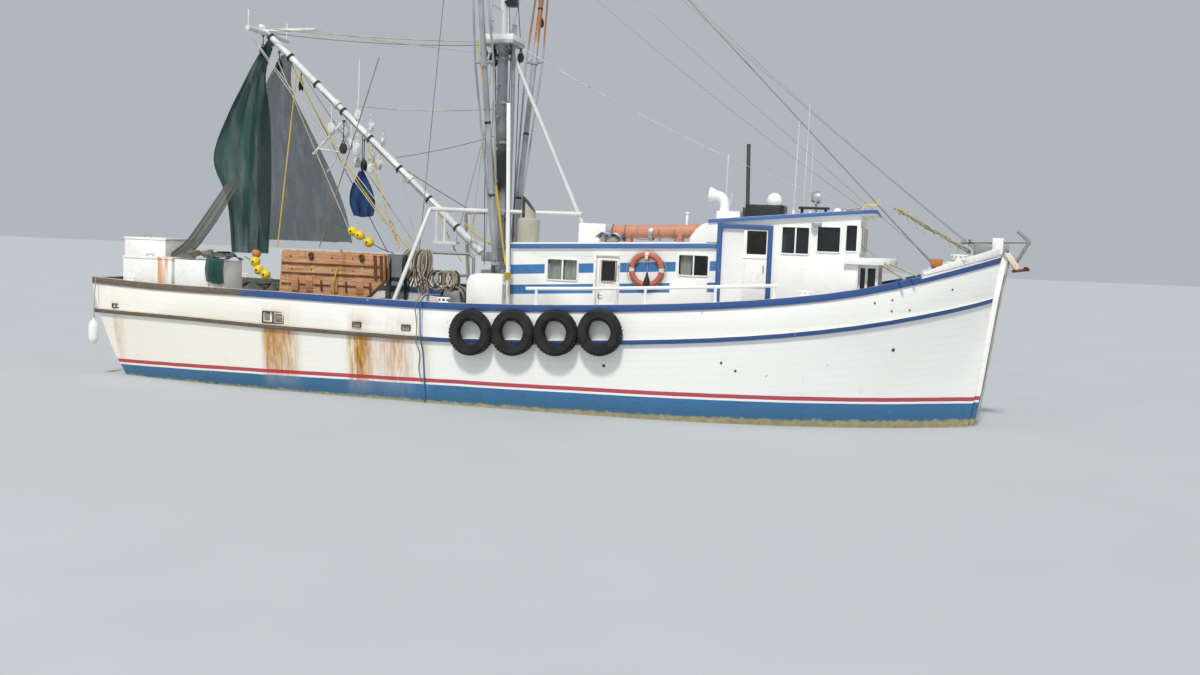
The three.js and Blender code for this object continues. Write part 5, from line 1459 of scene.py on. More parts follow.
def whips():
    top = 4.2
    lines("whip_aerials", [
        (0.009, [(5.74, -0.8, top), (5.75, -0.8, 4.7), (5.77, -0.8, 6.2)]),
        (0.008, [(5.92, -0.6, top), (5.93, -0.6, 5.0), (5.95, -0.6, 6.6)]),
        (0.007, [(6.05, -0.4, top), (6.04, -0.4, 5.9)]),
        (0.012, [(4.28, -0.6, top), (4.29, -0.6, 5.5)]),
        (0.014, [(4.31, -0.62, top), (4.42, -0.62, 4.68)]),
    ], "spar_white")
    obj = blank("whip_feet")
    for x, y in ((5.74, -0.8), (5.92, -0.6), (6.05, -0.4), (4.28, -0.6)):
        add_round((x, y, 4.19), (x, y, 4.36), 0.026, 10)
        add_round((x, y, 4.17), (x, y, 4.215), 0.055, 12)
    shaped(obj, "plain_white", 0.004)
    blocks("roof_strip", [((5.86, -1.0, 4.38), (6.49, -0.82, 4.43)), ((5.9, -0.95, 4.2), (5.96, -0.87, 4.38)),
                          ((6.38, -0.95, 4.2), (6.44, -0.87, 4.38))], "black_plastic")
    lines("yellow_rod", [(0.014, eased([(7.12, -0.7, 4.33), (7.18, -0.7, 4.48), (7.26, -0.7, 4.515),
                                        (7.42, -0.7, 4.52), (7.48, -0.7, 4.66)], 4))], "float_yellow")
    # Horn and compass dome at the roof's front
    obj = blank("roof_horn")
    add_round((6.75, 0.35, 4.4), (7.05, 0.35, 4.4), 0.03, 14, 0.08)
    add_round((6.66, 0.35, 4.4), (6.76, 0.35, 4.4), 0.04, 14)
    add_block((6.72, 0.35, 4.33), (0.06, 0.06, 0.12))
    shaped(obj, "bronze", 0.003)
    turned("compass_dome", (6.6, -0.1, 4.26), [(0.12, 0), (0.12, 0.04), (0.09, 0.06), (0.09, 0.12), (0.07, 0.17),
                                              (0.03, 0.19), (0.005, 0.195)], "dome_white")


def roof_rims():
    """The low roof's white upper edge."""
    obj = blank("roof_top_edge")
    for side in (STARBOARD, PORT):
        add_bar((-0.2, side * 1.85, 3.44), (4.12, side * 1.85, 3.605), 0.03, 0.035)
    shaped(obj, "plain_white", 0.005)


class TRAWLER_OT_roof_gear(bpy.types.Operator):
    """Finish what stands on the roofs: stack, box, float, cowl, slab, dome, lamps and whips"""
    bl_idname = "trawler.roof_gear"
    bl_label = "Roof gear"

    def execute(self, context):
        stack = fitted("stack", "stack_grey", 0.008, 34)
        repaint(stack, "soot", lambda at, normal: at.z > 4.02 and (at.x < 0.06 or normal.z > 0.5))
        fitted("roof_box", "plain_white", 0.01)
        fitted("roof_float", "float_skin", 0.0, 50)
        fitted("vent_locker", "plain_white", 0.006, 40)
        gear = fitted("roof_deck_gear", "black_plastic", 0.006, 40)
        repaint(gear, "dome_white", lambda at, _: at.z > 4.445 and 4.95 < at.x < 5.6)
        repaint(gear, "black_iron", lambda at, _: at.x < 4.77)
        float_lashings()
        box_cloth()
        roof_lamps()
        whips()
        roof_rims()
        return {"FINISHED"}


def coils(name, at, r, turns, thick, finish, seed):
    """A loosely coiled rope lying on a surface."""
    rng = random.Random(seed)
    points = []
    for k in range(turns * COIL_STEPS + 1):
        angle = 2 * math.pi * k / COIL_STEPS
        wide = r * (0.82 + 0.3 * rng.random() * 0.4 + 0.12 * math.sin(k * 0.37 + seed))
        high = thick * 2 * 0.8 * (k / COIL_STEPS)
        points.append(Vector(at) + Vector((math.cos(angle) * wide, math.sin(angle) * wide * 0.9,
                                           thick + high + rng.random() * thick * 0.5)))
    lines(name, [(thick, points)], finish)


# Fenders

def tyre_tread(number, centre, r, wide):
    """Sidewall ridges and tread blocks."""
    obj = blank(f"tyre_tread_{number}")
    out = -1 if centre.y < 0 else 1
    for ring_r, thick in ((r * 0.6, 0.012), (r * 0.86, 0.01)):
        add_ring((centre.x, centre.y + out * wide * 0.44, centre.z), ring_r, thick, (math.pi / 2, 0, 0), 32, 6)
    for k in range(36):
        angle = 2 * math.pi * k / 36
        spot = Vector((math.cos(angle) * (r - 0.012), 0, math.sin(angle) * (r - 0.012)))
        for off in (-0.055, 0.055):
            add_block(centre + spot + Vector((0, off, 0)), (0.052, 0.085, 0.03), (0, math.pi / 2 - angle, 0))
    shaped(obj, "tyre", 0.0)


class TRAWLER_OT_fenders(bpy.types.Operator):
    """Finish the tyre fenders with sidewall rings and treads, and hang the quarter fender"""
    bl_idname = "trawler.fenders"
    bl_label = "Fenders"

    def execute(self, context):
        for number in range(1, 5):
            fitted(f"tyre_{number}", "tyre", 0.0, 40)
            low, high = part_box(f"tyre_{number}")
            middle = (low + high) / 2
            centre = Vector((middle.x, middle.y, low.z + (high.x - low.x) / 2))
            tyre_tread(number, centre, (high.x - low.x) / 2, high.y - low.y)
        turned("quarter_fender", (-10.18, -2.36, 0.72),
               [(0.015, 0.0), (0.05, 0.02), (0.095, 0.07), (0.11, 0.14), (0.11, 0.42), (0.095, 0.5),
                (0.05, 0.55), (0.022, 0.57), (0.022, 0.62)], "plain_white")
        lines("quarter_fender_line", [(0.012, [(-10.18, -2.36, 1.33), (-10.17, -2.35, 1.8), (-10.16, -2.31, 2.31)]),
                                      (0.018, [(-10.2, -2.36, 1.3), (-10.16, -2.36, 1.36), (-10.18, -2.36, 1.4)])],
              "rope_white")
        return {"FINISHED"}


# Mast, booms and rigging

def mast_fittings():
    obj = blank("mast_collars")
    for x, z, r in ((-1.0, 3.3, 0.15), (-1.003, 3.95, 0.148), (-1.02, 5.7, 0.145), (-1.04, 6.6, 0.142),
                    (-1.07, 7.6, 0.14)):
        add_round((x, 0, z), (x, 0, z + 0.06), r, 24)
        for angle in (0.6, 2.5, 3.8, 5.6):
            c, s = math.cos(angle), math.sin(angle)
            add_block((x + c * (r + 0.03), s * (r + 0.03), z + 0.03), (0.07, 0.02, 0.07), (0, 0, angle))
    shaped(obj, "galvanised", 0.004)
    obj = blank("mast_lamps")
    for x, y, z in ((-0.88, -0.12, 6.3), (-0.9, 0.14, 6.3), (-1.3, -0.3, 8.28), (-0.95, 0.3, 8.28)):
        add_round((x, y, z - 0.05), (x, y, z + 0.14), 0.05, 16)
        add_round((x, y, z + 0.14), (x, y, z + 0.17), 0.066, 16)
        add_round((x, y, z - 0.07), (x, y, z - 0.04), 0.066, 16)
    shaped(obj, "lamp_lens", 0.004)
    blocks("mast_box", [((-1.0, -0.16, 8.78), (-0.78, 0.04, 9.02)), ((-1.12, -0.06, 8.86), (-0.98, 0.0, 8.92))],
           "black_plastic")
    lines("mast_rods", [
        (0.022, [(-0.92, -0.2, 8.12), (-0.9, -0.2, 8.7)]),
        (0.02, [(-1.13, -0.1, 8.7), (-1.13, -0.75, 8.7)]),
        (0.012, [(-1.13, 0, 11.2), (-0.75, 0, 11.2), (-0.74, 0, 11.9)]),
    ], "spar_white")
    # Steps up the mast's aft side
    obj = blank("mast_steps")
    for k in range(13):
        z = 3.4 + k * 0.36
        x = -1.0 - 0.11 * (z - 2.7) / 5.3
        side = 1 if k % 2 else -1
        add_block((x - 0.03, side * 0.19, z), (0.035, 0.14, 0.03))
        add_block((x - 0.03, side * 0.255, z + 0.02), (0.035, 0.014, 0.05))
    shaped(obj, "galvanised", 0.003)
    hangs = [((-1.42, -0.36, 7.93), 0.26), ((-1.44, 0.36, 7.93), 0.3), ((-0.8, -0.36, 7.93), 0.22),
             ((-1.3, -0.05, 7.93), 0.34), ((-0.79, 0.34, 7.93), 0.24), ((-1.22, -0.2, 7.93), 0.2)]
    for number, (at, size) in enumerate(hangs):
        hung_block(f"mast_block_{number + 1}", at, size * 0.42, "black_iron", "hull", seed=number)


def boom_fittings():
    way = (BOOM_TIP - BOOM_FOOT).normalized()
    side = Vector((0, 1, 0))
    up = way.cross(side)
    if up.z < 0:
        up = -up
    obj = blank("boom_bands")
    long = (BOOM_TIP - BOOM_FOOT).length
    for t in (0.12, 0.24, 0.37, 0.5, 0.62, 0.74, 0.86, 0.95):
        at = BOOM_FOOT + way * long * t
        for off in (-0.02, 0.0, 0.02):
            add_round(at + way * (off - 0.009), at + way * (off + 0.009), 0.1, 20)
        add_round(at - up * 0.09, at - up * 0.13, 0.014, 8)
    shaped(obj, "black_iron", 0.003, "boom")
    obj = blank("boom_rods")
    at = BOOM_FOOT + way * long * 0.562
    add_round(at + up * 0.08, at + Vector((0.05, 0, 1.5)), 0.017, 10)
    a, b = BOOM_FOOT + way * long * 0.6 - up * 0.1, Vector((-5.74, -0.25, 5.37))
    add_round(a, b, 0.03, 10)
    add_round(Vector((-5.6, -0.2, 5.5)), Vector((-4.95, -0.2, 5.42)), 0.022, 10)
    add_round(Vector((-5.45, -0.1, 4.95)), Vector((-5.2, -0.1, 5.3)), 0.018, 10)
    for y in (-0.86, 0.86):
        foot = BOOM_TIP + Vector((0.22, y, -0.2))
        add_round(foot, foot + Vector((0, 0, 0.42)), 0.02, 10)
    shaped(obj, "spar_white", 0.003, "boom")
    cluster = (
        (0.45, 0.26, 0.0, 0.12), (0.47, 0.48, -0.16, 0.11), (0.49, 0.3, 0.12, 0.13), (0.51, 0.62, -0.05, 0.12),
        (0.53, 0.36, -0.18, 0.14), (0.55, 0.75, 0.08, 0.12), (0.57, 0.44, -0.02, 0.13), (0.59, 0.66, -0.18, 0.12),
        (0.61, 0.34, 0.14, 0.14), (0.63, 0.86, 0.0, 0.11), (0.65, 0.5, -0.12, 0.12),
    )
    for number, (t, drop, y, size) in enumerate(cluster):
        at = BOOM_FOOT + way * long * t - up * 0.1 + Vector((0, y, 0))
        finish = "black_iron" if number % 4 == 3 else "spar_white"
        hung_block(f"white_block_{number + 1}", at, size, finish, "boom", seed=number + 9, drop=drop)
    for number, (t, rise) in enumerate(((0.47, 0.16), (0.53, 0.2), (0.585, 0.17))):
        at = BOOM_FOOT + way * long * t + up * (0.1 + rise)
        hung_block(f"top_block_{number + 1}", at + Vector((0, -0.02, 0.2)), 0.11, "spar_white", "boom",
                   seed=number + 30, drop=0.3)
    for number, (t, drop) in enumerate(((0.8, 0.3), (0.9, 0.35), (0.975, 0.4))):
        at = BOOM_FOOT + way * long * t - up * 0.1
        hung_block(f"boom_block_{number + 1}", at, 0.11, "black_iron", "boom", seed=number + 40, drop=drop)


def outrigger_axis(side):
    """The foot and the direction of an outrigger at rest."""
    lean = math.radians(14)
    return Vector((-0.93, side * 0.52, 2.95)), Vector((0, side * math.sin(lean), math.cos(lean)))


def outrigger_fittings():
    for side, tag in SIDES:
        body = "outrigger_" + tag
        foot, way = outrigger_axis(side)
        obj = blank("outrigger_bands_" + tag)
        for at in (1.6, 3.2, 6.4, 8.0, 9.4, 10.4):
            spot = foot + way * at
            r = 0.079 - 0.0022 * at
            add_round(spot - way * 0.025, spot + way * 0.025, r, 16)
            add_ring(spot + way.cross(Vector((1, 0, 0))) * side * (r + 0.03), 0.03, 0.009,
                     (0, math.pi / 2, 0), 12, 6)
        shaped(obj, "black_iron", 0.003, body)
        for number, at in enumerate((6.4, 9.4, 10.4)):
            spot = foot + way * at
            hung_block(f"outrigger_block_{tag}_{number + 1}", spot - Vector((0, side * -0.09, 0.02)), 0.1,
                       "black_iron", body, seed=number + 20, drop=0.3)


class TRAWLER_OT_spars(bpy.types.Operator):
    """Finish the mast, the gallows, the boom and the outriggers"""
    bl_idname = "trawler.spars"
    bl_label = "Spars"

    def execute(self, context):
        fitted("mast", "mast_paint", 0.006, 40)
        fitted("gallows", "white_pipe", 0.0, 50)
        fitted("boom", "spar_white", 0.0, 50)
        for _, tag in SIDES:
            fitted("outrigger_" + tag, "outrigger_paint", 0.0, 50)
        fitted("forestay", "wire_rope", 0.0, 60)
        mast_fittings()
        boom_fittings()
        outrigger_fittings()
        return {"FINISHED"}


def hung_block(name, at, size, finish, body, seed=0, drop=None):
    """A sheave block that hangs on a shackle: two cheeks, the wheel between them and its pin."""
    at = Vector(at)
    drop = drop or size * 2.2
    obj = blank(name)
    add_round(at, at - Vector((0, 0, drop - size * 1.3)), 0.012, 8)
    add_ring(at - Vector((0, 0, 0.02)), 0.03, 0.01, (math.pi / 2, 0, seed), 12, 6)
    centre = at - Vector((0, 0, drop))
    add_ring(centre + Vector((0, 0, size * 1.25)), size * 0.26, 0.011, (math.pi / 2, 0, seed), 12, 6)
    c, s = math.cos(seed), math.sin(seed)
    across = Vector((-s, c, 0))
    for out in (-1, 1):
        add_ball(centre + across * out * size * 0.32, size, (0.72, 0.16, 1.12), (0, 0, seed), 8, 12)
    add_round(centre - across * size * 0.2, centre + across * size * 0.2, size * 0.78, 18)
    add_round(centre - across * size * 0.55, centre + across * size * 0.55, size * 0.16, 10)
    shaped(obj, finish, 0, body, angle=40)


def boom_lines(rig):
    """Topping lift and guys from the boom's head to the mast's crosstree and the deck."""
    rows = [
        ((-7.14, -0.3, 8.34), (-1.42, -0.2, 7.98), rig.wire * 1.3, "rope_white", 0.06),
        ((-7.14, 0.3, 8.32), (-1.42, 0.2, 7.98), rig.wire * 1.3, "wire_rope", 0.1),
        ((-6.0, 0.0, 8.33), (-1.3, 0.0, 7.75), rig.wire, "rope_white", 0.04),
        ((-4.82, 0, 6.55), (-1.2, -0.05, 6.5), rig.wire * 1.2, "rope_white", 0.08),
        ((-3.7, 0, 5.35), (-1.15, -0.05, 5.9), rig.wire, "wire_rope", 0.05),
        ((-4.1, -0.2, 7.64), (-5.17, -0.9, 3.18), 0.014, "rope_brown", 0.0),
        ((-7.05, -0.85, 8.0), (-2.79, -1.4, 3.21), 0.011, "rope_white", 0.02),
        ((-7.05, -0.6, 7.9), (-2.6, -1.3, 3.21), 0.011, "wire_rope", 0.02),
        ((-6.85, -0.3, 7.9), (-4.31, -0.9, 3.4), 0.011, "rope_white", 0.03),
        ((-6.75, 0.3, 7.85), (-3.0, 0.9, 2.6), 0.011, "rope_white", 0.03),
        ((-6.7, 0.1, 7.8), (-4.1, 0.5, 3.1), 0.009, "rope_dark", 0.02),
        ((-5.6, -0.15, 6.85), (-2.2, -1.0, 4.16), 0.009, "rope_dark", 0.02),
        ((-4.3, -0.1, 5.65), (-2.88, -1.45, 3.25), 0.011, "rope_white", 0.03),
        ((-3.9, 0.1, 5.3), (-2.1, 0.95, 4.16), 0.009, "rope_dark", 0.02),
        ((-3.5, -0.1, 4.95), (-2.45, -1.45, 3.25), 0.012, "rope_white", 0.02),
    ]
    for number, (a, b, r, finish, drop) in enumerate(rows):
        guy(f"boom_guy_{number + 1}", r, sagging(a, b, drop, 10), finish)


def fore_lines(rig):
    """Stays and halyards beside the forestay, with old rope seized to one of them."""
    runs = []
    for a, b, drop, thick in (
        ((-1.1, -0.1, 12.4), (9.5, -0.12, 3.62), 0.12, 0.8), ((-1.1, 0.1, 12.9), (9.6, 0.1, 3.6), 0.3, 0.6),
        ((-0.95, 0, 8.05), (7.2, -0.5, 4.35), 0.25, 0.6), ((-0.95, 0.1, 10.6), (7.3, 0.5, 4.35), 0.2, 0.6),
        ((-1.1, -0.05, 11.6), (8.75, -0.2, 3.3), 0.1, 0.7),
    ):
        runs.append((rig.wire * thick, sagging(a, b, drop, 14)))
    lines("fore_stays", runs, "wire_rope")
    # Frayed rope seized round the stay near the bow
    rng = random.Random(5)
    runs = []
    a, b = Vector((7.75, -0.02, 4.5)), Vector((9.35, -0.03, 3.62))
    for k in range(7):
        points = []
        for j in range(12):
            t = j / 11
            off = Vector((0, rng.uniform(-0.03, 0.03), rng.uniform(-0.04, 0.04)))
            points.append(a.lerp(b, t) + off)
        runs.append((0.012, eased(points, 2)))
    lines("seized_rope", runs[2:], "rope_white")
    lines("seized_rope_yellow", runs[:2], "rope_yellow")
    runs = []
    for k in range(9):
        at = a.lerp(b, 0.06 + 0.11 * k)
        down = rng.uniform(0.08, 0.22)
        runs.append((0.006, eased([at, at + Vector((0.03, rng.uniform(-0.05, 0.05), -down * 0.5)),
                                   at + Vector((rng.uniform(-0.05, 0.08), 0.0, -down))], 3)))
    lines("frayed_ends", runs, "rope_white")


def mast_falls():
    """The falls that lead down beside the mast."""
    thin, white = [], []
    for side in (STARBOARD, PORT):
        thin.append((0.010, sagging((-1.4, side * 0.3, 7.9), (-1.25, side * 0.42, 3.0), 0.02, 8)))
        thin.append((0.009, sagging((-0.8, side * 0.3, 7.9), (-0.83, side * 0.3, 3.0), 0.03, 8)))
        white.append((0.010, sagging((-1.3, side * 0.1, 7.9), (-1.6, side * 0.5, 2.9), 0.02, 8)))
        white.append((0.008, sagging((-1.15, side * 0.16, 12.6), (-1.3, side * 0.34, 8.12), 0.0, 4)))
        thin.append((0.008, sagging((-1.1, side * 0.12, 12.0), (-0.82, side * 0.36, 8.12), 0.0, 4)))
    lines("mast_falls", thin, "rope_dark")
    lines("mast_falls_white", white, "rope_white")
    lines("mast_hose", [(0.045, eased([(-0.82, -0.1, 7.9), (-0.79, -0.12, 6.6), (-0.8, -0.1, 5.2),
                                       (-0.78, -0.12, 3.9), (-0.74, -0.1, 3.42)], 4))], "grey_metal", sides=2)


def outrigger_lines(rig):
    """Lifts from the masthead to each outrigger."""
    for side, tag in SIDES:
        foot, way = outrigger_axis(side)
        rows = ((foot + way * 9.4, Vector((-1.13, side * 0.07, 13.0)), rig.wire),
                (foot + way * 6.4, Vector((-1.12, side * 0.08, 12.2)), rig.wire * 0.8),
                (foot + way * 10.4, Vector((-2.6, side * 1.0, 3.2)), 0.009))
        for number, (a, b, r) in enumerate(rows):
            guy(f"outrigger_lift_{tag}_{number + 1}", r, [a, a.lerp(b, 0.5), b], "wire_rope")


def yellow_falls():
    runs = []
    for a, b, drop in (((-1.6, -0.34, 8.0), (-0.46, -1.2, 3.0), 0.03),
                       ((-1.52, -0.4, 8.0), (-0.42, -1.26, 2.95), 0.05),
                       ((-1.62, -0.7, 3.84), (-0.85, -1.2, 3.43), 0.05)):
        runs.append((0.017, sagging(a, b, drop, 10)))
    lines("yellow_falls", runs, "rope_yellow")
    rows = [((-6.3, -0.1, 7.35), (-5.79, -1.7, 3.14), 0.02), ((-6.35, -0.1, 7.4), (-2.6, -1.48, 3.2), 0.32),
            ((-4.39, -0.1, 5.6), (-2.88, -1.48, 3.22), 0.06), ((-2.5, -0.1, 4.0), (-1.5, -1.2, 3.0), 0.04)]
    for number, (a, b, drop) in enumerate(rows):
        guy(f"yellow_guy_{number + 1}", 0.014, sagging(a, b, drop, 10), "rope_yellow")


def side_ropes():
    """Ropes that hang over the starboard side and off the rack."""
    x = -1.62

    def skin(z):
        return hull_skin(x, z)[0].y - 0.03

    rail = between(RAIL_STEPS, x)
    half = -between(RAIL_HALF, x) - 0.03
    points = eased([(x + 0.3, -2.3, rail + 0.1), (x + 0.05, -2.75, rail + 0.17), (x, half, rail + 0.06),
                    (x - 0.02, half, rail - 0.2), (x - 0.01, skin(1.42) - 0.08, 1.4), (x, skin(1.1), 1.1),
                    (x + 0.015, skin(0.7), 0.7), (x + 0.02, skin(0.3), 0.3), (x + 0.02, skin(0.08), 0.02)], 4)
    lines("blue_side_rope", [(0.017, points)], "rope_blue")
    points = [p + Vector((-0.09 + 0.02 * math.sin(i), -0.012, 0)) for i, p in enumerate(points[:-6])]
    lines("brown_side_rope", [(0.011, points)], "rope_brown")


class TRAWLER_OT_rigging(bpy.types.Operator):
    """Set up the taut stays, the topping lift and the working ropes that hang at the mast"""
    bl_idname = "trawler.rigging"
    bl_label = "Rigging"

    def execute(self, context):
        rig = context.scene.trawler_rig
        boom_lines(rig)
        fore_lines(rig)
        mast_falls()
        outrigger_lines(rig)
        yellow_falls()
        side_ropes()
        return {"FINISHED"}


# Nets

def hanging(name, finish, node, rows, seed):
    obj = woven(name, rows, finish, across=9, ripple=0.06, waves=3.6, seed=seed)
    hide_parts(node)
    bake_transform(obj)
    declare_sheet(obj)


def swag():
    """The bunched skirt that swings aft over the stern boxes and back to the heap."""
    obj = woven("net_swag", [
        [(-7.98, -0.42, 4.62), (-7.86, -0.42, 4.55), (-7.72, -0.38, 4.5)],
        [(-8.3, -0.72, 3.9), (-8.16, -0.74, 3.82), (-7.98, -0.7, 3.76)],
        [(-8.66, -0.98, 3.2), (-8.52, -1.0, 3.12), (-8.36, -0.98, 3.06)],
        [(-9.0, -1.14, 2.8), (-8.86, -1.18, 2.72), (-8.66, -1.16, 2.68)],
        [(-8.5, -1.3, 2.58), (-8.4, -1.32, 2.46), (-8.3, -1.3, 2.36)],
        [(-7.9, -1.34, 2.34), (-7.82, -1.36, 2.24), (-7.74, -1.34, 2.14)],
    ], "net_grey", across=9, ripple=0.05, waves=2.6, seed=11)
    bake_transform(obj)
    declare_sheet(obj)


def hang_cloth():
    """A blue cloth bag hung below the boom."""
    laid("boom_cloth", [
        [(-4.62, -0.06, 5.0), (-4.58, 0.0, 5.02), (-4.54, 0.06, 5.0)],
        [(-4.78, -0.14, 4.6), (-4.56, 0.0, 4.6), (-4.36, 0.12, 4.6)],
        [(-4.8, -0.16, 4.25), (-4.54, 0.0, 4.25), (-4.28, 0.14, 4.25)],
        [(-4.7, -0.12, 3.95), (-4.5, 0.0, 3.92), (-4.3, 0.1, 3.96)],
    ], "blue_cloth", "hung", ["boom"], "boom", across=7, ripple=0.05, waves=2.4, seed=19)
    lines("boom_cloth_line", [(0.01, [(-4.58, 0, 5.86), (-4.58, 0, 5.4), (-4.58, 0, 4.98)])],
          "rope_dark", "boom")


def heap():
    """A mound of bunched netting on deck, its folds laid one over another."""
    rng = random.Random(21)
    low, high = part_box("net_heap")
    rows = []
    n, m = 11, 9
    for i in range(n):
        row = []
        for j in range(m):
            x = low.x - 0.06 + (high.x - low.x + 0.12) * i / (n - 1)
            y = low.y - 0.06 + (high.y - low.y + 0.12) * j / (m - 1)
            point, _ = meets("net_heap", (x, y, 6), (0, 0, -1))
            z = point.z + 0.03 + rng.uniform(0, 0.09) if point else 1.64 + rng.uniform(0, 0.05)
            row.append((x, y, z))
        rows.append(row)
    obj = woven("net_mound", rows, "net_grey", across=5, ripple=0.035, waves=6.5, seed=5)
    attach(obj, "hull")
    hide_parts("net_heap")
    declare_sheet(obj)
    runs = []
    for _ in range(26):
        angle = rng.uniform(0, 2 * math.pi)
        cx, cy = rng.uniform(low.x + 0.3, high.x - 0.3), rng.uniform(low.y + 0.3, high.y - 0.3)
        reach = rng.uniform(0.25, 0.55)
        points = []
        for j in range(6):
            x = cx + math.cos(angle + j * 0.5) * reach * (j / 5)
            y = cy + math.sin(angle + j * 0.5) * reach * (j / 5)
            point, _ = meets("net_heap", (x, y, 6), (0, 0, -1))
            z = (point.z if point else 1.64) + 0.06 + rng.uniform(0, 0.05)
            points.append((x, y, z))
        runs.append((rng.uniform(0.012, 0.03), eased(points, 4)))
    lines("mound_ropes", runs[:14], "rope_green")
    lines("mound_ropes_dark", runs[14:], "rope_dark")


def net_floats():
    spots = [(-3.8, -1.9, 3.57), (-3.63, -1.9, 3.49), (-3.41, -1.9, 3.34), (-6.23, -1.9, 2.8),
             (-6.14, -1.9, 2.62), (-5.96, -1.9, 2.52)]
    obj = blank("net_floats")
    for number, (x, y, z) in enumerate(spots):
        add_ball((x, y, z), 0.115, (1, 1, 0.9), (0.3 * number, 0.5, 0), 12, 18)
    shaped(obj, "float_yellow", 0)
    obj = blank("net_float_bungs")
    for x, y, z in spots:
        add_round((x, y - 0.12, z), (x, y - 0.09, z), 0.022, 10)
    shaped(obj, "black_plastic", 0)
    obj = blank("brown_float")
    add_ball((-6.3, -1.75, 2.98), 0.1, (1.1, 1, 0.9), (0, 0.4, 0), 12, 18)
    shaped(obj, "orange_rust", 0)
    lines("float_lines", [
        (0.01, eased([(-4.3, -1.8, 3.75), (-3.98, -1.85, 3.62), (-3.87, -1.9, 3.57), (-3.58, -1.9, 3.47),
                      (-3.36, -1.9, 3.33), (-3.1, -1.85, 3.2), (-2.9, -1.7, 3.12)], 4)),
        (0.01, eased([(-6.6, -1.75, 2.9), (-6.3, -1.85, 2.78), (-6.21, -1.9, 2.70), (-6.05, -1.9, 2.59),
                      (-5.95, -1.9, 2.51), (-5.6, -1.95, 2.35)], 4)),
    ], "rope_green")


class TRAWLER_OT_nets(bpy.types.Operator):
    """Hang the two nets from the boom, heap the third on deck and string their floats"""
    bl_idname = "trawler.nets"
    bl_label = "Nets"

    def execute(self, context):
        hanging("net_curtain", "net_green", "net_aft", [
            [(-7.09, -0.13, 8.06), (-7.05, 0.0, 8.1), (-7.0, 0.13, 8.1)],
            [(-7.54, -0.2, 7.3), (-7.42, 0.0, 7.34), (-7.28, 0.16, 7.3)],
            [(-8.02, -0.3, 6.3), (-7.6, -0.02, 6.35), (-7.22, 0.28, 6.3)],
            [(-8.34, -0.4, 5.2), (-7.68, -0.05, 5.2), (-7.2, 0.34, 5.2)],
            [(-7.96, -0.4, 4.2), (-7.58, -0.05, 4.2), (-7.18, 0.32, 4.2)],
            [(-7.86, -0.32, 2.95), (-7.54, -0.05, 2.95), (-7.2, 0.26, 2.95)],
        ], 1)
        hanging("net_apron", "net_dark", "net_fore", [
            [(-6.68, -0.12, 7.72), (-6.62, 0.0, 7.76), (-6.56, 0.12, 7.74)],
            [(-7.02, -0.3, 6.95), (-6.8, 0.0, 6.98), (-6.62, 0.25, 6.95)],
            [(-7.12, -0.42, 6.1), (-6.65, 0.0, 6.1), (-6.2, 0.35, 6.1)],
            [(-7.08, -0.5, 5.0), (-6.35, -0.1, 5.0), (-5.6, 0.4, 5.0)],
            [(-7.02, -0.5, 4.1), (-6.1, -0.15, 4.1), (-5.2, 0.4, 4.1)],
            [(-6.9, -0.42, 3.3), (-5.95, -0.1, 3.3), (-4.95, 0.3, 3.3)],
        ], 2)
        swag()
        hang_cloth()
        heap()
        net_floats()
        return {"FINISHED"}


# Deck gear

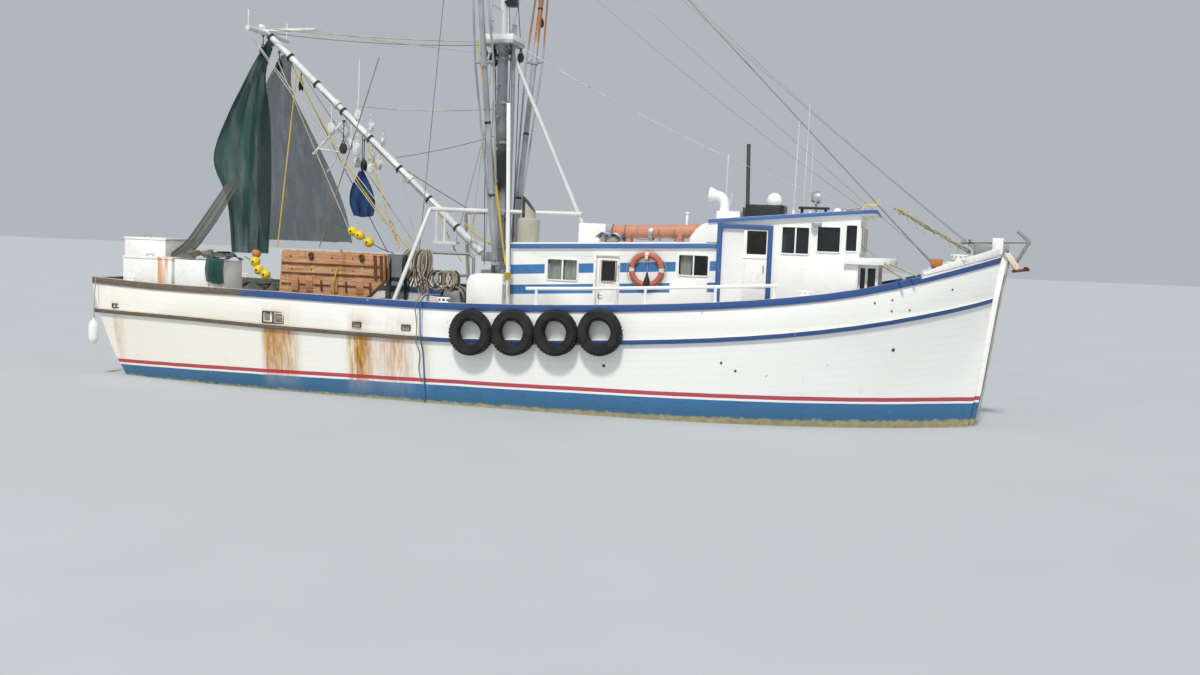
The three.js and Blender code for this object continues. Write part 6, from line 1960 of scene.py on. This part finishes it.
def dress_board(number):
    low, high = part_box(f"trawl_board_{number}")
    x0, x1 = low.x, high.x

    def face(x, z):
        return meets(f"trawl_board_{number}", (x, -4, z), (0, 1, 0))[0]

    high_z, tall = high.z, high.z - low.z

    def across(name, share, thick, start, end, finish):
        """A strip along the board's face, this far down from its top."""
        z = high_z - tall * share
        a, b = face(start, z), face(end, z)
        if a and b:
            bar = blank(name)
            add_bar(a - Vector((0, 0.006, 0)), b - Vector((0, 0.006, 0)), 0.03, thick)
            shaped(bar, finish, 0.004)

    across(f"board_seam_upper_{number}", 0.3, 0.042, x0 + 0.12, x1 - 0.04, "rusty_iron")
    across(f"board_seam_middle_{number}", 0.52, 0.042, x0 + 0.1, x1 - 0.06, "rusty_iron")
    across(f"board_seam_lower_{number}", 0.76, 0.03, x0 + 0.08, x1 - 0.3, "rusty_iron")
    straps = blank(f"board_straps_{number}")
    for x in (-4.98, -4.62, -4.02, -3.4):
        a, b = face(x, high_z - tall * 0.56), face(x, low.z + 0.08)
        if a and b:
            add_bar(a - Vector((0, 0.014, 0)), b - Vector((0, 0.014, 0)), 0.17, 0.03)
    shaped(straps, "board_timber", 0.006)
    irons = blank(f"board_irons_{number}")
    for x in (-4.9, -4.33, -3.73, -3.15):
        a, b = face(x, high_z - tall * 0.66), face(x, low.z + 0.1)
        if a and b:
            add_bar(a - Vector((0, 0.012, 0)), b - Vector((0, 0.012, 0)), 0.045, 0.024)
    for x in (-4.54, -3.32):
        p = face(x, high_z - tall * 0.1)
        if p:
            add_ring(p - Vector((0, 0.03, 0)), 0.05, 0.018, (math.pi / 2, 0, 0), 16, 8)
            add_block(p - Vector((0, 0.006, 0.05)), (0.09, 0.02, 0.12))
    for x in (x1 - 0.06, x1 - 0.2):
        a, b = face(x, high_z - 0.05), face(x, high_z - tall * 0.6)
        if a and b:
            add_bar(a - Vector((0, 0.01, 0)), b - Vector((0, 0.01, 0)), 0.07, 0.022)
    for k in range(5):
        for share in (0.14, 0.42):
            p = face(x0 + 0.35 + k * 0.5, high_z - tall * share)
            if p:
                add_round(p - Vector((0, 0.014, 0)), p + Vector((0, 0.01, 0)), 0.017, 8)
    shaped(irons, "rusty_iron", 0.004)
    if number == 1:
        points = eased([(-4.02, -1.95, high.z - 0.02), (-3.98, -2.12, high.z + 0.04),
                        (-3.92, -2.26, high.z - 0.06), (-3.92, -2.36, high.z - 0.4),
                        (-4.0, -2.42, low.z + 0.25), (-3.92, -2.44, low.z - 0.06)], 5)
        lines("board_rope", [(0.014, points)], "rope_yellow")


class TRAWLER_OT_trawl_boards(bpy.types.Operator):
    """Finish the trawl boards: plank seams, straps, bolts, irons, rings and brackets"""
    bl_idname = "trawler.trawl_boards"
    bl_label = "Trawl boards"

    def execute(self, context):
        for number in (1, 2):
            fitted(f"trawl_board_{number}", "board_timber", 0.008)
            dress_board(number)
        return {"FINISHED"}


def wire_on_drum():
    """Wire wound on the winch's drums."""
    low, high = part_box("winch_drum")
    x, z = (low.x + high.x) / 2, 2.12
    runs = []
    for y0, y1, r in ((-0.62, -0.16, 0.30), (0.16, 0.62, 0.30)):
        points = []
        turns = int((y1 - y0) / 0.026)
        for k in range(turns * 14 + 1):
            angle = 2 * math.pi * k / 14
            y = y0 + (y1 - y0) * k / (turns * 14)
            points.append((x + math.cos(angle) * r, y, z + math.sin(angle) * r))
        runs.append((0.013, points))
    lines("winch_wire", runs, "wire_rope", "winch_drum")


def hanks():
    """Rope hanks lashed over the rack's rails, and coils on its lower frame."""
    rng = random.Random(31)
    groups = {"rope_brown": [], "rope_white": [], "rope_dark": []}
    kinds = ["rope_brown", "rope_brown", "rope_white", "rope_dark"]
    for k in range(30):
        x = rng.uniform(-2.66, -2.1)
        width, drop = rng.uniform(0.05, 0.14), rng.uniform(0.45, 0.95)
        y = -1.5 + rng.uniform(-0.06, 0.02)
        points = [(x, y + 0.03, 3.22), (x - width, y - 0.06, 3.1), (x - width * 1.1, y - 0.1, 3.2 - drop * 0.6),
                  (x - width * 0.2, y - 0.12, 3.17 - drop), (x + width * 0.9, y - 0.1, 3.2 - drop * 0.6),
                  (x + width * 0.8, y - 0.06, 3.1), (x, y + 0.03, 3.22)]
        groups[rng.choice(kinds)].append((rng.uniform(0.01, 0.018), eased(points, 4)))
    for k in range(20):
        x = rng.uniform(-1.8, -1.25)
        width, drop = rng.uniform(0.06, 0.16), rng.uniform(0.2, 0.42)
        y = -2.13 + rng.uniform(-0.03, 0.03)
        points = [(x, y + 0.03, 2.8), (x - width, y - 0.05, 2.72), (x - width, y - 0.08, 2.75 - drop * 0.7),
                  (x, y - 0.09, 2.75 - drop), (x + width, y - 0.08, 2.75 - drop * 0.7),
                  (x + width * 0.9, y - 0.04, 2.72), (x, y + 0.03, 2.8)]
        groups[rng.choice(kinds)].append((rng.uniform(0.01, 0.016), eased(points, 4)))
    for finish, runs in groups.items():
        lines("hanks_" + finish, runs, finish)
    # Dark bags and netting slung on the rack's aft post
    rows = []
    for k in range(6):
        z = 3.1 - k * 0.2
        bulge = math.sin(math.pi * min(1, 0.15 + k / 6))
        rows.append([(-3.02 - 0.06 * bulge, -1.58 - 0.14 * bulge, z), (-2.85, -1.66 - 0.2 * bulge, z),
                     (-2.66 + 0.05 * bulge, -1.6 - 0.14 * bulge, z), (-2.6, -1.5, z)])
    laid("slung_net", rows, "net_dark", "hung", ["gear_rack"], across=6, ripple=0.025, waves=3, seed=8)


def pole_ropes():
    """Yellow knot and loose ends on the tank's pole."""
    runs = []
    for k in range(6):
        points = []
        for j in range(13):
            angle = 2 * math.pi * j / 12
            points.append((-0.07 + math.cos(angle) * 0.058, -2.1 + math.sin(angle) * 0.058,
                           2.7 + k * 0.024 + 0.01 * math.sin(angle)))
        runs.append((0.012, points))
    runs.append((0.011, eased([(-0.05, -2.16, 2.72), (0.0, -2.2, 2.6), (-0.02, -2.18, 2.42), (0.02, -2.17, 2.3)],
                              4)))
    lines("pole_knot", runs, "rope_yellow")
    lines("pole_ends", [(0.01, eased([(-0.08, -2.17, 2.72), (-0.12, -2.2, 2.55), (-0.08, -2.2, 2.4),
                                     (-0.1, -2.19, 2.28)], 4))], "rope_white")


class TRAWLER_OT_winch(bpy.types.Operator):
    """Finish the winch, the rack beside it with its rope hanks, and the deck tank"""
    bl_idname = "trawler.winch"
    bl_label = "Winch and rack"

    def execute(self, context):
        fitted("winch_frame", "grey_metal", 0.006)
        fitted("winch_drum", "rusty_iron", 0.005, 40)
        fitted("gear_rack", "grey_metal", 0.0, 45)
        fitted("deck_tank", "plain_white", 0.008, 40)
        wire_on_drum()
        hanks()
        pole_ropes()
        return {"FINISHED"}


def handles():
    for node in ("ice_chest_lid", "stern_locker_lid"):
        low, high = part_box(node)
        x, y = (low.x + high.x) / 2, low.y + 0.12
        obj = blank(node + "_handle")
        add_round((x - 0.09, y, high.z + 0.05), (x + 0.09, y, high.z + 0.05), 0.012, 10)
        for end in (-0.085, 0.085):
            add_round((x + end, y, high.z - 0.004), (x + end, y, high.z + 0.055), 0.011, 8)
        shaped(obj, "galvanised", 0.002, node)
    low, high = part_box("hatch_cover")
    obj = blank("hatch_cover_battens")
    for k in range(4):
        y = low.y + 0.14 + (high.y - low.y - 0.28) * k / 3
        add_block(((low.x + high.x) / 2, y, high.z + 0.008), (high.x - low.x - 0.1, 0.09, 0.022))
    shaped(obj, "worn_timber", 0.005, "hatch_cover")
    obj = blank("hatch_cover_rings")
    for x in (low.x + 0.14, high.x - 0.14):
        add_ring((x, 0, high.z + 0.03), 0.05, 0.009, (math.pi / 2, 0, 0), 16, 6)
    shaped(obj, "galvanised", 0, "hatch_cover")


def heaped_gear():
    """Rope, net and cloth piled along the starboard boxes."""
    rng = random.Random(41)
    rows = []
    for k in range(7):
        y = -2.16 + 0.13 * k
        arch = 0.11 * math.sin(math.pi * (k + 0.6) / 7.2)
        rows.append([(-8.16 + 0.22 * j, y, 2.8 + arch + rng.uniform(-0.03, 0.07)) for j in range(7)])
    laid("heaped_net", rows, "net_grey", "laid", ["bin"], across=4, ripple=0.035, waves=4.2, seed=12)
    rows = []
    for k in range(6):
        y = (-1.94, -2.15, -2.2, -2.22, -2.21, -2.2)[k]
        z = (2.84, 2.83, 2.7, 2.56, 2.42, 2.28)[k]
        rows.append([(-7.3, y, z + 0.03), (-7.14, y - 0.02, z), (-6.99, y - 0.02, z - 0.02), (-6.84, y, z)])
    laid("draped_net", rows, "net_green", "draped", ["bin"], across=5, ripple=0.03, waves=3, seed=14)
    for number, (x, y, z, r, finish) in enumerate((
        (-7.95, -1.75, 2.86, 0.16, "rope_brown"), (-7.5, -1.85, 2.9, 0.14, "rope_white"),
        (-7.12, -1.75, 2.86, 0.15, "rope_dark"),
    )):
        coils(f"stern_coil_{number + 1}", (x, y, z), r, 5, 0.014, finish, seed=number + 50)


class TRAWLER_OT_stern(bpy.types.Operator):
    """Finish the stern: chests, lids, bin, hatch and the gear heaped on them"""
    bl_idname = "trawler.stern"
    bl_label = "Stern"

    def execute(self, context):
        for node in ("ice_chest", "ice_chest_lid", "stern_locker", "stern_locker_lid", "bin"):
            fitted(node, "chest_white", 0.01)
        fitted("hatch_coaming", "plain_white", 0.01)
        fitted("hatch_cover", "deck_paint", 0.008)
        handles()
        heaped_gear()
        return {"FINISHED"}


def stem_head():
    """White cheeks at the stem head, the worn plank before it with its rusty end, and a mooring post."""
    blocks("stem_cheeks", [((9.76, -0.16, 3.6), (9.98, -0.06, 3.93)), ((9.76, 0.06, 3.6), (9.98, 0.16, 3.93))],
           "plain_white", bevel=0.02)
    obj = blank("stem_plank")
    add_bar((10.04, 0, 3.66), (10.3, 0, 3.3), 0.3, 0.11)
    shaped(obj, "stained_white", 0.012)
    obj = blank("stem_plank_end")
    add_bar((10.2, 0, 3.26), (10.52, 0, 3.31), 0.34, 0.05)
    add_round((10.46, -0.19, 3.33), (10.46, 0.19, 3.33), 0.035, 12)
    shaped(obj, "rusty_iron", 0.006)
    floor, _ = meets("hull", (8.67, -0.75, 6), (0, 0, -1))
    foot = floor.z if floor else 2.5
    blocks("mooring_post", [((8.58, -0.84, foot), (8.77, -0.66, 3.3)), ((8.56, -0.86, 3.3), (8.79, -0.64, 3.46))],
           "orange_rust", bevel=0.01)


def stem_ropes():
    rng = random.Random(61)
    runs = []
    for k in range(3):
        points = []
        for z in (3.62, 3.2, 2.7, 2.2, 1.6, 1.0, 0.5, 0.12):
            point, _ = meets("keel", (13, 0, z), (-1, 0, 0))
            x = point.x if point else 9.6
            points.append((x + 0.03 + rng.uniform(0, 0.03), rng.uniform(-0.05, 0.05) - 0.02 * k, z))
        runs.append((0.011, eased(points, 3)))
    lines("stem_ropes", runs, "rope_white")
    lines("bow_guys", [
        (0.013, sagging((6.86, -1.2, 3.92), (8.08, -2.0, 3.04), 0.0, 6)),
        (0.03, sagging((7.5, -1.62, 3.37), (8.08, -2.0, 3.04), 0.0, 6)),
        (0.024, eased([(7.5, -1.5, 3.42), (7.83, -1.6, 3.3), (8.05, -1.75, 3.22), (8.3, -1.86, 3.12)], 4)),
    ], "rope_white")


def bow_coils():
    coils("bow_coil", (8.35, -0.55, 2.38), 0.26, 6, 0.018, "rope_brown", seed=70)
    coils("bow_coil_white", (8.2, 0.5, 2.36), 0.24, 6, 0.016, "rope_white", seed=71)


class TRAWLER_OT_bow(bpy.types.Operator):
    """Finish the bow: bitts, anchor, stem head, mooring post, rope coils and the ropes at the stem"""
    bl_idname = "trawler.bow"
    bl_label = "Bow"

    def execute(self, context):
        fitted("bow_bitts", "orange_rust", 0.008)
        fitted("anchor", "grey_metal", 0.006, 40)
        stem_head()
        stem_ropes()
        bow_coils()
        return {"FINISHED"}


OPERATORS = (
    TRAWLER_OT_finishes, TRAWLER_OT_hull, TRAWLER_OT_rails, TRAWLER_OT_deckhouse, TRAWLER_OT_pilothouse,
    TRAWLER_OT_roof_gear, TRAWLER_OT_fenders, TRAWLER_OT_spars, TRAWLER_OT_rigging, TRAWLER_OT_nets,
    TRAWLER_OT_trawl_boards, TRAWLER_OT_winch, TRAWLER_OT_stern, TRAWLER_OT_bow, TRAWLER_OT_stage,
)


class TRAWLER_PT_panel(bpy.types.Panel):
    """Settings and buttons of the trawler"""
    bl_idname = "TRAWLER_PT_panel"
    bl_label = "Trawler"
    bl_space_type = "VIEW_3D"
    bl_region_type = "UI"
    bl_category = "Trawler"

    def draw(self, context):
        layout = self.layout
        scene = context.scene
        for group in (scene.trawler_paint, scene.trawler_wear, scene.trawler_rig, scene.trawler_stage):
            box = layout.box()
            for key in group.__annotations__:
                box.prop(group, key)
        for operator in OPERATORS:
            layout.operator(operator.bl_idname)


GROUPS = (
    ("trawler_paint", TrawlerPaint), ("trawler_wear", TrawlerWear), ("trawler_rig", TrawlerRig),
    ("trawler_stage", TrawlerStage),
)


def register():
    for name, group in GROUPS:
        bpy.utils.register_class(group)
        setattr(bpy.types.Scene, name, PointerProperty(type=group))
    for each in (*OPERATORS, TRAWLER_PT_panel):
        bpy.utils.register_class(each)


def unregister():
    for each in reversed((*OPERATORS, TRAWLER_PT_panel)):
        bpy.utils.unregister_class(each)
    for name, group in reversed(GROUPS):
        delattr(bpy.types.Scene, name)
        bpy.utils.unregister_class(group)


def main():
    register()
    deselect()
    for operator in OPERATORS:
        getattr(bpy.ops.trawler, operator.bl_idname.split(".")[1])()


if __name__ == "__main__":
    main()
